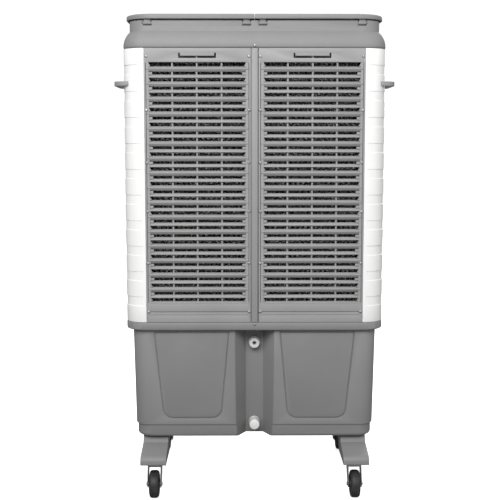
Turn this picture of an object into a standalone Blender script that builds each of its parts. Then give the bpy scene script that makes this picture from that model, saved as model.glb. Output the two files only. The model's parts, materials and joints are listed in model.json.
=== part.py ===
"""Tall wheeled evaporative cooler, air intake at the rear (-Y), outlet at the front (+Y).

Metres, +Z up. The origin is on the floor under the middle of the cooler.
"""
import math

import bmesh
import bpy
from mathutils import Matrix, Vector

# ---- overall sizes -------------------------------------------------------
UPPER_HALF_WIDTH = 0.350      # white side panels, outside
UPPER_HALF_DEPTH = 0.220      # intake grilles to outlet panel
UPPER_CORNER = 0.055          # plan corner radius of the upper body
TANK_BOTTOM_Z = 0.157
TANK_TOP_Z = 0.470
PANEL_HEIGHT = 0.730          # white panels and grilles, above the deck
FIT = 0.0005                  # gap between pieces that are fastened together
CORNER_STEPS = 4
FAR = 2.0                     # reach of a cutter past the whole body

# ---- heights that follow from them -------------------------------------------
TANK_STEP_Z = TANK_BOTTOM_Z + 0.0345
DECK_BOTTOM_Z = TANK_TOP_Z - 0.011
DECK_TOP_Z = TANK_TOP_Z + 0.011
PANEL_TOP_Z = DECK_TOP_Z + PANEL_HEIGHT
NECK_Z = PANEL_TOP_Z + 0.045
HOUSING_TOP_Z = NECK_Z + 0.0285
LID_BOTTOM_Z = HOUSING_TOP_Z + 0.002
LID_TOP_Z = LID_BOTTOM_Z + 0.0135

# ---- tank ----------------------------------------------------------------
TANK_TOP_HALF = (UPPER_HALF_WIDTH - 0.017, UPPER_HALF_DEPTH - 0.014)
TANK_LOW_HALF = (UPPER_HALF_WIDTH - 0.024, UPPER_HALF_DEPTH - 0.0185)
TANK_BASE_HALF = (UPPER_HALF_WIDTH - 0.0275, UPPER_HALF_DEPTH - 0.022)
TANK_CORNER = UPPER_CORNER - 0.010
TANK_WALL = 0.004
RECESS_OUTER_HALF = 0.0485
RECESS_INNER_HALF = 0.024
RECESS_FACE_Y = -(UPPER_HALF_DEPTH - 0.070)
SHIELD_TOP = (0.0695, UPPER_HALF_WIDTH - 0.0786)
SHIELD_LOW = (0.0923, UPPER_HALF_WIDTH - 0.1037)
SHIELD_TOP_Z = TANK_TOP_Z - 0.018
SHIELD_LOW_Z = TANK_STEP_Z + 0.020
SHIELD_PROUD = 0.002
SHIELD_CORNER = 0.022

# ---- deck and side panels --------------------------------------------------
DECK_SKIRT_WALL = 0.006
DECK_PLATE = 0.0105
PANEL_WALL = 0.005
PANEL_EDGE_X = UPPER_HALF_WIDTH - 0.0585
BAND_EDGE_X = PANEL_EDGE_X + 0.0125
BAND_DEPTH = 0.0012
BAND_HEIGHT = 0.026
BAND_PITCH = 0.0685
BAND_TOP_Z = PANEL_TOP_Z - 0.043
BAND_COUNT = int((BAND_TOP_Z - BAND_HEIGHT - DECK_TOP_Z) / BAND_PITCH) + 1

# ---- intake side -----------------------------------------------------------
POST_HALF_WIDTH = 0.010
POST_PROUD = 0.0015
GRILLE_DEPTH = 0.0245
GRILLE_SKIN = 0.003
SLOT_PITCH = 0.03904
SLOT_TOP_Z = PANEL_TOP_Z - 0.0433     # middle of the highest wide slot
SLOT_BOTTOM_MARGIN = 0.060
SLOT_COUNT = int((SLOT_TOP_Z - DECK_TOP_Z - SLOT_BOTTOM_MARGIN) / SLOT_PITCH) + 1
SLOT_INNER_X = POST_HALF_WIDTH + 0.0138
SLOT_OUTER_X = PANEL_EDGE_X - 0.0125
WIDE_SLOT = 0.0089
NARROW_SLOT = 0.0075
NARROW_BELOW_WIDE = 0.0220
NARROW_INSET = 0.009
RIB_SHARES = (0.249, 0.506, 0.760)    # places of the ribs along a slot
GRILLE_RIB = (0.004, 0.010)
FINGER_SLOT_HALF = 0.0495
FINGER_SLOT_Z = (PANEL_TOP_Z - 0.0263, PANEL_TOP_Z - 0.013)
FINGER_SLIT = 0.005
FRAME_THICK = 0.006
PAD_GAP = 0.0015
PAD_DEPTH = 0.080
PAD_FRONT_Y = -(UPPER_HALF_DEPTH - 0.026)
PAD_INNER_X = SLOT_INNER_X - 0.0003
PAD_LIFT = 0.0065             # pad above the deck
PAD_HEIGHT = PANEL_HEIGHT - 0.038

# ---- top -------------------------------------------------------------------
NECK_HALF = (UPPER_HALF_WIDTH - 0.016, UPPER_HALF_DEPTH - 0.0155)
NECK_RIM_INSET = 0.009
NECK_RIM_TOP_Z = HOUSING_TOP_Z + 0.010
BAY_X = (0.014, UPPER_HALF_WIDTH - 0.050)
BAY_HALF_DEPTH = UPPER_HALF_DEPTH - 0.042
BAY_FLOOR_Z = PANEL_TOP_Z + 0.011
LID_HALF = (UPPER_HALF_WIDTH - 0.0065, UPPER_HALF_DEPTH - 0.007)
LID_WALL = 0.005
LID_SKIN = 0.0035
LID_SPLIT = 0.00075
HINGE_Y = -(UPPER_HALF_DEPTH - 0.0185)
HINGE_Z = HOUSING_TOP_Z - 0.008
HINGE_X = (0.0215, UPPER_HALF_WIDTH - 0.067)
HINGE_WIDTH = 0.021
HINGE_RADIUS = 0.0045
HINGE_PIN_RADIUS = 0.002
HINGE_PIN_REACH = 0.0025      # pin beyond each end of its knuckle
FEED_HOLE_X = (0.09, 0.21)
FEED_HOLE_RADIUS = 0.006

# ---- outlet side -------------------------------------------------------------
OUTLET_HALF_WIDTH = UPPER_HALF_WIDTH - 0.100
OUTLET_Z = (DECK_TOP_Z + 0.119, PANEL_TOP_Z - 0.121)
OUTLET_WALL = 0.004
OUTLET_BACK_Y = UPPER_HALF_DEPTH - 0.098
UPRIGHT_VANES = 5
UPRIGHT_PITCH = OUTLET_HALF_WIDTH * 0.36
UPRIGHT_Y = UPPER_HALF_DEPTH - 0.065
UPRIGHT_CHORD = 0.050
UPRIGHT_CRANK = 0.020
LEVEL_VANES = 5
LEVEL_PITCH = (OUTLET_Z[1] - OUTLET_Z[0]) * 0.18367
LEVEL_Y = UPPER_HALF_DEPTH - 0.020
LEVEL_CHORD = 0.034
LEVEL_CRANK = 0.012
VANE_THICK = 0.002
VANE_PIN_RADIUS = 0.0025
CRANK_PIN_RADIUS = 0.0018
LINK_THICK = 0.003
LINK_WIDTH = 0.0075
RUN_CLEARANCE = 0.0006        # radial gap where a pin turns in a hole

# ---- fan -----------------------------------------------------------------------
FAN_Z = (OUTLET_Z[0] + OUTLET_Z[1]) / 2
SHROUD_BACK_Y = -0.075
SHROUD_FRONT_Y = 0.015
SHROUD_RADIUS = 0.250
SHROUD_WALL = 0.004
SHROUD_FLANGE = 0.012
ROTOR_RADIUS = SHROUD_RADIUS - 0.008
HUB_RADIUS = 0.068
HUB_Y = (-0.055, 0.002)
BLADE_COUNT = 5
BLADE_PITCH_ROOT = math.radians(38)
BLADE_PITCH_TIP = math.radians(22)
SHAFT_RADIUS = 0.006
MOTOR_RADIUS = 0.062
MOTOR_Y = (0.0265, 0.112)
BOSS_RADIUS = 0.022
BRACKET_BAR = 0.030
BRACKET_SEAT_RADIUS = 0.045

# ---- controls ------------------------------------------------------------------
CONTROL_HALF = (0.140, 0.041)
CONTROL_Z = PANEL_TOP_Z - 0.059
CONTROL_THICK = 0.004
CONTROL_BOX_DEPTH = 0.022
CONTROL_BOX_INSET = 0.012
KNOB_X = -0.085
KNOB_RADIUS = 0.020
BUTTON_X = (0.010, 0.050, 0.090)
BUTTON_HALF = (0.012, 0.008)
BUTTON_PROUD = 0.0035

# ---- water parts ---------------------------------------------------------------
RISER_X = -0.060
RISER_Y = -(UPPER_HALF_DEPTH - 0.1255)
RISER_RADIUS = (0.006, 0.009)
PUMP_RADIUS = 0.032
PUMP_TOP_Z = TANK_BOTTOM_Z + 0.088
TROUGH_Z = (PANEL_TOP_Z - 0.025, PANEL_TOP_Z - 0.005)
TROUGH_HALF_WIDTH = UPPER_HALF_WIDTH - 0.067
TROUGH_Y = (-(UPPER_HALF_DEPTH - 0.033), -(UPPER_HALF_DEPTH - 0.140))
TROUGH_WALL = 0.003
INLET_Z = TANK_TOP_Z - 0.056
DRAIN_Z = TANK_BOTTOM_Z + 0.0308
FITTING_STEM_RADIUS = 0.008
SPIGOT_RADIUS = 0.0132        # three-quarter inch hose thread
SPIGOT_LENGTH = 0.021         # inlet spigot in front of the recess
DRAIN_CAP_RADIUS = 0.0142
FLOAT_PIVOT = (0.0, RECESS_FACE_Y + 0.027, INLET_Z - 0.0174)
FLOAT_REACH = 0.125
FLOAT_RADIUS = 0.028
FLOAT_DROOP = math.radians(35)  # a dry float hangs on its lower stop

# ---- handles, legs and casters -----------------------------------------------
HANDLE_Z = (PANEL_TOP_Z - 0.101, PANEL_TOP_Z - 0.084)
HANDLE_REACH_X = UPPER_HALF_WIDTH + 0.025
HANDLE_Y = (-(UPPER_HALF_DEPTH - 0.015), -(UPPER_HALF_DEPTH - 0.195))
HANDLE_GRIP = 0.0125
HANDLE_CORNER = 0.034
LEG_BOTTOM_Z = 0.101
LEG_X = UPPER_HALF_WIDTH - 0.0765
LEG_HALF_WIDTH = 0.0345
LEG_LIP_Y = UPPER_HALF_DEPTH + 0.056
LEG_LIP_HEIGHT = 0.0185
SWIVEL_Y = UPPER_HALF_DEPTH - 0.010
CASTER_TRAIL = 0.028
WHEEL_RADIUS = 0.0375
WHEEL_WIDTH = 0.026
WHEEL_STEPS = 20
FORK_PLATE = 0.0025
FORK_INNER_HALF = 0.0165
FORK_CROWN_Z = (WHEEL_RADIUS + 0.0445, WHEEL_RADIUS + 0.0493)
SWIVEL_DISC = (0.0205, LEG_BOTTOM_Z - FORK_CROWN_Z[1] - 0.0052)
STEM_RADIUS = 0.0055
STEM_TOP_Z = LEG_BOTTOM_Z + 0.026
AXLE_RADIUS = 0.004

GREY = (0.235, 0.238, 0.240)
WHITE = (0.80, 0.80, 0.79)
BLACK = (0.03, 0.03, 0.03)
ZINC = (0.60, 0.60, 0.60)
LIGHT = (0.62, 0.62, 0.60)
PAD_BROWN = (0.055, 0.052, 0.050)


# ---- helpers -------------------------------------------------------------------
def clear_scene():
    for item in list(bpy.data.objects):
        bpy.data.objects.remove(item, do_unlink=True)


def collection(name):
    group = bpy.data.collections.new(name)
    bpy.context.scene.collection.children.link(group)
    return group


def material(name, colour, roughness, metallic=0.0):
    finish = bpy.data.materials.new(name)
    finish.use_nodes = True
    shader = finish.node_tree.nodes["Principled BSDF"]
    shader.inputs["Base Color"].default_value = (*colour, 1.0)
    shader.inputs["Roughness"].default_value = roughness
    shader.inputs["Metallic"].default_value = metallic
    return finish


def new_object(name, bm, finish=None):
    """An object from a bmesh; without a finish it is a cutter or a piece to join."""
    bmesh.ops.recalc_face_normals(bm, faces=bm.faces)
    mesh = bpy.data.meshes.new(name)
    bm.to_mesh(mesh)
    bm.free()
    thing = bpy.data.objects.new(name, mesh)
    if finish is None:
        thing.hide_render = True
        thing.display_type = "WIRE"
        CUTTERS.objects.link(thing)
    else:
        thing.data.materials.append(finish)
        PARTS.objects.link(thing)
    return thing


def block(name, low, high, finish=None):
    """A box between two corners."""
    bm = bmesh.new()
    bmesh.ops.create_cube(bm, size=1.0)
    size = Vector(high) - Vector(low)
    bmesh.ops.scale(bm, vec=size, verts=bm.verts)
    bmesh.ops.translate(bm, vec=(Vector(high) + Vector(low)) / 2, verts=bm.verts)
    return new_object(name, bm, finish)


def rod(name, start, end, radius, steps=12, finish=None):
    """A round bar from start to end."""
    bm = bmesh.new()
    along = Vector(end) - Vector(start)
    turn = Vector((0, 0, 1)).rotation_difference(along).to_matrix().to_4x4()
    place = Matrix.Translation((Vector(start) + Vector(end)) / 2) @ turn
    bmesh.ops.create_cone(bm, cap_ends=True, segments=steps, radius1=radius,
                          radius2=radius, depth=along.length, matrix=place)
    thing = new_object(name, bm, finish)
    thing.data.shade_smooth()
    thing.data.set_sharp_from_angle(angle=math.radians(40))
    return thing


def rounded_rectangle(half_width, half_depth, radius, steps=CORNER_STEPS):
    points = []
    corners = ((1, 1, 0), (-1, 1, 90), (-1, -1, 180), (1, -1, 270))
    for side_x, side_y, start in corners:
        for step in range(steps + 1):
            angle = math.radians(start + 90 * step / steps)
            points.append((side_x * (half_width - radius) + radius * math.cos(angle),
                           side_y * (half_depth - radius) + radius * math.sin(angle)))
    return points


def loft(name, levels, finish=None):
    """A rounded block drawn upwards; a level is (z, half width, half depth, corner radius)."""
    bm = bmesh.new()
    rings = []
    for z, half_width, half_depth, radius in levels:
        outline = rounded_rectangle(half_width, half_depth, radius)
        rings.append([bm.verts.new((x, y, z)) for x, y in outline])
    bm.faces.new(list(reversed(rings[0])))
    bm.faces.new(rings[-1])
    count = len(rings[0])
    for lower, upper in zip(rings, rings[1:]):
        for here in range(count):
            after = (here + 1) % count
            bm.faces.new((lower[here], lower[after], upper[after], upper[here]))
    thing = new_object(name, bm, finish)
    thing.data.shade_smooth()
    thing.data.set_sharp_from_angle(angle=math.radians(30))
    return thing


def prism(name, outline, axis, start, end, finish=None):
    """A flat outline pushed along an axis; the outline is given in the other two, in order."""
    bm = bmesh.new()
    others = [index for index in range(3) if index != axis]
    verts = []
    for first, second in outline:
        place = [0.0, 0.0, 0.0]
        place[axis] = start
        place[others[0]] = first
        place[others[1]] = second
        verts.append(bm.verts.new(place))
    face = bm.faces.new(verts)
    pushed = bmesh.ops.extrude_face_region(bm, geom=[face])["geom"]
    moved = [item for item in pushed if isinstance(item, bmesh.types.BMVert)]
    shift = [0.0, 0.0, 0.0]
    shift[axis] = end - start
    bmesh.ops.translate(bm, vec=shift, verts=moved)
    return new_object(name, bm, finish)


def turned(name, profile, steps, place, axis="Z", finish=None, ring=False):
    """A turned piece: profile points are (radius, height), from the top down its outer side."""
    mesh = bpy.data.meshes.new(name)
    points = [(radius, 0.0, height) for radius, height in profile]
    edges = [(index, index + 1) for index in range(len(points) - 1)]
    if ring:
        edges.append((len(points) - 1, 0))
    mesh.from_pydata(points, edges, [])
    thing = bpy.data.objects.new(name, mesh)
    screw = thing.modifiers.new("turn", "SCREW")
    screw.steps = steps
    screw.render_steps = steps
    screw.use_merge_vertices = True
    screw.merge_threshold = 0.00005
    screw.use_smooth_shade = True
    if axis == "Y":
        thing.rotation_euler = (math.radians(-90), 0, 0)
    if axis == "X":
        thing.rotation_euler = (0, math.radians(90), 0)
    thing.location = place
    if finish is None:
        thing.hide_render = True
        thing.display_type = "WIRE"
        CUTTERS.objects.link(thing)
    else:
        mesh.materials.append(finish)
        PARTS.objects.link(thing)
    return thing


def boolean(target, tool, operation):
    change = target.modifiers.new(tool.name, "BOOLEAN")
    change.operation = operation
    change.object = tool
    change.solver = "EXACT"


def cut(target, *tools):
    for tool in tools:
        boolean(target, tool, "DIFFERENCE")


def join(target, *tools):
    for tool in tools:
        boolean(target, tool, "UNION")


def span(side, near, far):
    """The two ends, low first, of a stretch given for the right side and mirrored by side."""
    return tuple(sorted((side * near, side * far)))


def upper_outline(inset=0.0):
    """Half width, half depth and corner radius of the upper body, moved inwards by inset."""
    return (UPPER_HALF_WIDTH - inset, UPPER_HALF_DEPTH - inset, UPPER_CORNER - inset)


# ---- lower body ------------------------------------------------------------------
def make_tank(finish):
    low_x, low_y = TANK_LOW_HALF
    base_x, base_y = TANK_BASE_HALF
    top_x, top_y = TANK_TOP_HALF
    edge = 0.009
    tank = loft("water_tank", (
        (TANK_BOTTOM_Z, base_x - edge, base_y - edge, TANK_CORNER - edge),
        (TANK_BOTTOM_Z + edge / 3, base_x - edge / 3, base_y - edge / 3, TANK_CORNER - edge / 3),
        (TANK_BOTTOM_Z + edge, base_x, base_y, TANK_CORNER),
        (TANK_STEP_Z, base_x, base_y, TANK_CORNER),
        (TANK_STEP_Z + 0.002, low_x, low_y, TANK_CORNER),
        (TANK_TOP_Z, top_x, top_y, TANK_CORNER)), finish)
    for side in (-1, 1):
        join(tank, make_shield(side))
    wall = TANK_WALL
    hollow = loft("tank_hollow", (
        (TANK_BOTTOM_Z + wall, base_x - wall - edge, base_y - wall - edge, TANK_CORNER - wall),
        (TANK_BOTTOM_Z + wall + edge, base_x - wall, base_y - wall, TANK_CORNER - wall),
        (TANK_STEP_Z, base_x - wall, base_y - wall, TANK_CORNER - wall),
        (TANK_TOP_Z + wall, top_x - wall, top_y - wall, TANK_CORNER - wall)))
    cut(hollow, recess_wedge("recess_inside", wall))
    cut(tank, hollow, recess_wedge("recess_outside", 0.0))
    for name, z in (("inlet_hole", INLET_Z), ("drain_hole", DRAIN_Z)):
        ends = ((0, RECESS_FACE_Y - 0.01, z), (0, RECESS_FACE_Y + 0.01, z))
        cut(tank, rod(name, *ends, FITTING_STEM_RADIUS + FIT, 16))
    return tank


def tank_face_y(z):
    """The rear face of the tank leans out a little towards its top."""
    share = (z - TANK_STEP_Z) / (TANK_TOP_Z - TANK_STEP_Z)
    return -(TANK_LOW_HALF[1] + share * (TANK_TOP_HALF[1] - TANK_LOW_HALF[1]))


def make_shield(side):
    """The raised field on one half of the tank's rear face."""
    outline = ((side * SHIELD_TOP[0], SHIELD_TOP_Z), (side * SHIELD_TOP[1], SHIELD_TOP_Z),
               (side * SHIELD_LOW[1], SHIELD_LOW_Z + SHIELD_CORNER),
               (side * (SHIELD_LOW[1] - SHIELD_CORNER), SHIELD_LOW_Z),
               (side * (SHIELD_LOW[0] + SHIELD_CORNER), SHIELD_LOW_Z),
               (side * SHIELD_LOW[0], SHIELD_LOW_Z + SHIELD_CORNER))
    shield = prism("shield_left" if side < 0 else "shield_right", outline, 1, -1.0, 0.0)
    for vert in shield.data.vertices:
        face = tank_face_y(vert.co.z)
        vert.co.y = face - SHIELD_PROUD if vert.co.y < -0.5 else face + TANK_WALL / 2
    return shield


def recess_wedge(name, wall):
    """The upright recess in the rear of the tank, grown by wall for the inside of the tank."""
    back = RECESS_FACE_Y + wall
    front = -(UPPER_HALF_DEPTH + 0.010)
    slope = (RECESS_OUTER_HALF - RECESS_INNER_HALF) / (-TANK_LOW_HALF[1] - RECESS_FACE_Y)
    inner = RECESS_INNER_HALF + wall
    outer = inner + slope * (front - back)
    outline = ((-outer, front), (outer, front), (inner, back), (-inner, back))
    return prism(name, outline, 2, TANK_BOTTOM_Z - 0.02, TANK_TOP_Z + 0.02)


def make_deck(finish):
    width, depth, corner = upper_outline()
    curl = 0.004
    deck = loft("deck_tray", (
        (DECK_BOTTOM_Z, width - curl, depth - curl, corner - curl),
        (DECK_BOTTOM_Z + curl, width, depth, corner),
        (DECK_TOP_Z - curl / 2, width, depth, corner),
        (DECK_TOP_Z, width - curl / 2, depth - curl / 2, corner - curl / 2)), finish)
    wall = DECK_SKIRT_WALL + curl
    under = loft("deck_under", (
        (DECK_BOTTOM_Z - 0.01, width - wall, depth - wall, corner - wall),
        (DECK_TOP_Z - DECK_PLATE, width - wall, depth - wall, corner - wall)))
    cut(deck, under)
    for side in (-1, 1):
        x_low, x_high = span(side, PAD_INNER_X + 0.012, SLOT_OUTER_X - 0.0125)
        y_low = PAD_FRONT_Y + 0.010
        slot = block("drip_slot", (x_low, y_low, DECK_BOTTOM_Z),
                     (x_high, y_low + 0.050, DECK_TOP_Z + 0.01))
        cut(deck, slot)
    riser = rod("deck_riser_hole", (RISER_X, RISER_Y, DECK_BOTTOM_Z),
                (RISER_X, RISER_Y, DECK_TOP_Z + 0.01), RISER_RADIUS[1] + 0.002, 16)
    cut(deck, riser)
    return deck


# ---- upper body ------------------------------------------------------------------
def make_side_panel(side, finish):
    name = "left_side_panel" if side < 0 else "right_side_panel"
    low = DECK_TOP_Z + FIT
    high = PANEL_TOP_Z - FIT
    panel = loft(name, ((low, *upper_outline()), (high, *upper_outline())), finish)
    inside = loft("panel_inside", ((low - 0.01, *upper_outline(PANEL_WALL)),
                                   (high + 0.01, *upper_outline(PANEL_WALL))))
    x_low, x_high = span(side, -FAR, PANEL_EDGE_X)
    middle = block("panel_middle", (x_low, -FAR, low - 0.02), (x_high, FAR, high + 0.02))
    band = loft("panel_band", ((BAND_TOP_Z - BAND_HEIGHT, *upper_outline(-0.01)),
                               (BAND_TOP_Z, *upper_outline(-0.01))))
    core = loft("band_core", ((BAND_TOP_Z - 0.1, *upper_outline(BAND_DEPTH)),
                              (BAND_TOP_Z + 0.1, *upper_outline(BAND_DEPTH))))
    x_low, x_high = span(side, -FAR, BAND_EDGE_X)
    inner = block("band_inner", (x_low, -FAR, 0.0), (x_high, FAR, FAR))
    cut(band, core, inner)
    repeat = band.modifiers.new("bands", "ARRAY")
    repeat.count = BAND_COUNT
    repeat.use_relative_offset = False
    repeat.use_constant_offset = True
    repeat.constant_offset_displace = (0, 0, -BAND_PITCH)
    repeat.use_merge_vertices = False
    cut(panel, inside, middle, band)
    return panel


def make_center_post(finish):
    rear = -UPPER_HALF_DEPTH
    post = block("center_post", (-POST_HALF_WIDTH, rear - POST_PROUD, DECK_TOP_Z + FIT),
                 (POST_HALF_WIDTH, rear + GRILLE_DEPTH, PANEL_TOP_Z - FIT), finish)
    return post


def make_rear_frame(finish):
    rear = -UPPER_HALF_DEPTH + GRILLE_DEPTH + FIT
    edge = PANEL_EDGE_X - FIT
    frame = block("rear_frame", (-edge, rear, DECK_TOP_Z + FIT),
                  (edge, rear + FRAME_THICK, PANEL_TOP_Z - FIT), finish)
    for side in (-1, 1):
        low, high = pad_corners(side)
        window = block("pad_window", (low.x - PAD_GAP, rear - 0.01, low.z - PAD_GAP),
                       (high.x + PAD_GAP, rear + 0.02, high.z + PAD_GAP))
        cut(frame, window)
    return frame


def pad_corners(side):
    x_low, x_high = span(side, PAD_INNER_X, SLOT_OUTER_X - 0.0005)
    z_low = DECK_TOP_Z + PAD_LIFT
    return (Vector((x_low, PAD_FRONT_Y, z_low)),
            Vector((x_high, PAD_FRONT_Y + PAD_DEPTH, z_low + PAD_HEIGHT)))


def make_pad(side, finish):
    low, high = pad_corners(side)
    return block("left_cooling_pad" if side < 0 else "right_cooling_pad", low, high, finish)


def make_grille(side, finish):
    name = "left_pad_grille" if side < 0 else "right_pad_grille"
    rear = -UPPER_HALF_DEPTH
    z_low = DECK_TOP_Z + FIT
    z_high = PANEL_TOP_Z - FIT
    x_low, x_high = span(side, POST_HALF_WIDTH + FIT, PANEL_EDGE_X - FIT)
    grille = block(name, (x_low, rear, z_low), (x_high, rear + GRILLE_DEPTH, z_high), finish)
    skin = GRILLE_SKIN
    back = block("grille_back", (x_low + skin, rear + skin, z_low + skin),
                 (x_high - skin, rear + 0.05, z_high - skin))
    cut(grille, back)
    for share in RIB_SHARES:
        middle = side * (SLOT_INNER_X + share * (SLOT_OUTER_X - SLOT_INNER_X))
        near_y = rear + skin + FIT
        rib = block("grille_rib", (middle - GRILLE_RIB[0] / 2, near_y, z_low + skin / 2),
                    (middle + GRILLE_RIB[0] / 2, near_y + GRILLE_RIB[1], z_high - skin / 2))
        join(grille, rib)
    cut(grille, slot_cutter(side, "wide_slots", SLOT_TOP_Z, WIDE_SLOT, 0.0, SLOT_COUNT))
    cut(grille, slot_cutter(side, "narrow_slots", SLOT_TOP_Z - NARROW_BELOW_WIDE,
                            NARROW_SLOT, NARROW_INSET, SLOT_COUNT - 1))
    cut(grille, *finger_slot_cutters(side))
    return grille


def slot_cutter(side, name, z, height, inset, count):
    """A column of level slots through the grille's skin, in front of its ribs."""
    rear = -UPPER_HALF_DEPTH
    x_low, x_high = span(side, SLOT_INNER_X + inset, SLOT_OUTER_X - inset)
    slot = block(name, (x_low, rear - 0.01, z - height / 2),
                 (x_high, rear + GRILLE_SKIN + FIT / 2, z + height / 2))
    repeat = slot.modifiers.new("slots", "ARRAY")
    repeat.count = count
    repeat.use_relative_offset = False
    repeat.use_constant_offset = True
    repeat.constant_offset_displace = (0, 0, -SLOT_PITCH)
    repeat.use_merge_vertices = False
    return slot


def finger_slot_cutters(side):
    rear = -UPPER_HALF_DEPTH
    middle = (SLOT_INNER_X + SLOT_OUTER_X) / 2
    near, far = span(side, middle - FINGER_SLOT_HALF, middle + FINGER_SLOT_HALF)
    low, high = FINGER_SLOT_Z
    through = rear + GRILLE_SKIN + FIT / 2
    outer = block("finger_slot", (near, rear - 0.01, low), (far, through, high))
    tongue = block("finger_tongue", (near + FINGER_SLIT, rear - 0.02, low + FINGER_SLIT),
                   (far - FINGER_SLIT, rear + 0.02, high + 0.01))
    cut(outer, tongue)
    return (outer,)


def make_top_housing(finish):
    width, depth, corner = upper_outline()
    neck_x, neck_y = NECK_HALF
    rim = NECK_RIM_INSET
    soft = 0.003
    housing = loft("top_housing", (
        (PANEL_TOP_Z, width - soft, depth - soft, corner - soft),
        (PANEL_TOP_Z + 0.016, width, depth, corner),
        (NECK_Z - 0.010, width - 0.005, depth - 0.0045, corner - 0.003),
        (NECK_Z, neck_x, neck_y, corner - 0.010),
        (HOUSING_TOP_Z, neck_x, neck_y, corner - 0.010),
        (HOUSING_TOP_Z, neck_x - rim, neck_y - rim, corner - 0.019),
        (NECK_RIM_TOP_Z, neck_x - rim, neck_y - rim, corner - 0.019)), finish)
    top = NECK_RIM_TOP_Z + 0.01
    for side in (-1, 1):
        x_low, x_high = span(side, *BAY_X)
        bay = block("ice_bay", (x_low, -BAY_HALF_DEPTH, BAY_FLOOR_Z), (x_high, BAY_HALF_DEPTH, top))
        cut(housing, bay)
        for hinge_x in HINGE_X:
            cut(housing, *hinge_pocket_cutters(side * hinge_x))
        for hole_x in FEED_HOLE_X:
            place = (side * hole_x, (TROUGH_Y[0] + TROUGH_Y[1]) / 2)
            hole = rod("feed_hole", (*place, PANEL_TOP_Z - 0.01), (*place, BAY_FLOOR_Z + 0.01),
                       FEED_HOLE_RADIUS, 8)
            cut(housing, hole)
    split = block("rim_split", (-0.010, -FAR, HOUSING_TOP_Z), (0.010, FAR, top))
    cut(housing, split)
    return housing


def hinge_pocket_cutters(x):
    half = HINGE_WIDTH / 2 + 0.001
    pocket = block("hinge_pocket", (x - half, -FAR, HINGE_Z - HINGE_RADIUS - 0.002),
                   (x + half, HINGE_Y + 0.0085, NECK_RIM_TOP_Z + 0.01))
    reach = half + HINGE_PIN_REACH
    hole = rod("hinge_hole", (x - reach, HINGE_Y, HINGE_Z), (x + reach, HINGE_Y, HINGE_Z),
               HINGE_PIN_RADIUS + RUN_CLEARANCE, 12)
    return pocket, hole


def make_lid(side, finish):
    name = "left_lid" if side < 0 else "right_lid"
    width, depth = LID_HALF
    corner = UPPER_CORNER
    soft = 0.003
    lid = loft(name, ((LID_BOTTOM_Z, width, depth, corner), (LID_TOP_Z - soft, width, depth, corner),
                      (LID_TOP_Z - soft / 3, width - soft / 3, depth - soft / 3, corner - soft / 3),
                      (LID_TOP_Z, width - soft, depth - soft, corner - soft)), finish)
    x_low, x_high = span(side, -FAR, LID_SPLIT)
    other_half = block("lid_other_half", (x_low, -FAR, LID_BOTTOM_Z - 0.01), (x_high, FAR, FAR))
    wall = LID_WALL
    under = loft("lid_under", (
        (LID_BOTTOM_Z - 0.005, width - wall, depth - wall, corner - wall),
        (LID_TOP_Z - LID_SKIN, width - wall, depth - wall, corner - wall)))
    x_low, x_high = span(side, -FAR, LID_SPLIT + wall)
    cut(under, block("lid_middle_rim", (x_low, -FAR, NECK_Z), (x_high, FAR, FAR)))
    cut(lid, other_half, under)
    for hinge_x in HINGE_X:
        join(lid, *hinge_knuckle(side * hinge_x))
    return lid


def hinge_knuckle(x):
    half = HINGE_WIDTH / 2
    knuckle = rod("hinge_knuckle", (x - half, HINGE_Y, HINGE_Z), (x + half, HINGE_Y, HINGE_Z),
                  HINGE_RADIUS, 12)
    arm = block("hinge_arm", (x - half + 0.002, HINGE_Y - 0.003, HINGE_Z),
                (x + half - 0.002, HINGE_Y + 0.003, LID_TOP_Z - LID_SKIN / 2))
    reach = half + HINGE_PIN_REACH
    pin = rod("hinge_pin", (x - reach, HINGE_Y, HINGE_Z), (x + reach, HINGE_Y, HINGE_Z),
              HINGE_PIN_RADIUS, 8)
    return knuckle, arm, pin


def make_handle(side, finish):
    name = "left_handle" if side < 0 else "right_handle"
    z_low, z_high = HANDLE_Z
    y_low, y_high = HANDLE_Y
    middle_y = (y_low + y_high) / 2
    handle = loft(name, ((z_low, HANDLE_REACH_X, (y_high - y_low) / 2, HANDLE_CORNER),
                         (z_high, HANDLE_REACH_X, (y_high - y_low) / 2, HANDLE_CORNER)), finish)
    for vert in handle.data.vertices:
        vert.co.y += middle_y
    body = loft("handle_body", ((z_low - 0.01, *upper_outline(-FIT)),
                                (z_high + 0.01, *upper_outline(-FIT))))
    x_low, x_high = span(side, -FAR, 0.0)
    far_half = block("handle_far_half", (x_low, -FAR, z_low - 0.01), (x_high, FAR, z_high + 0.01))
    gap_x = span(side, UPPER_HALF_WIDTH - 0.02, HANDLE_REACH_X - HANDLE_GRIP)
    gap = block("finger_gap", (gap_x[0], y_low + HANDLE_CORNER, z_low - 0.01),
                (gap_x[1], y_high - 0.022, z_high + 0.01))
    cut(handle, body, far_half, gap)
    return handle


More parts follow.
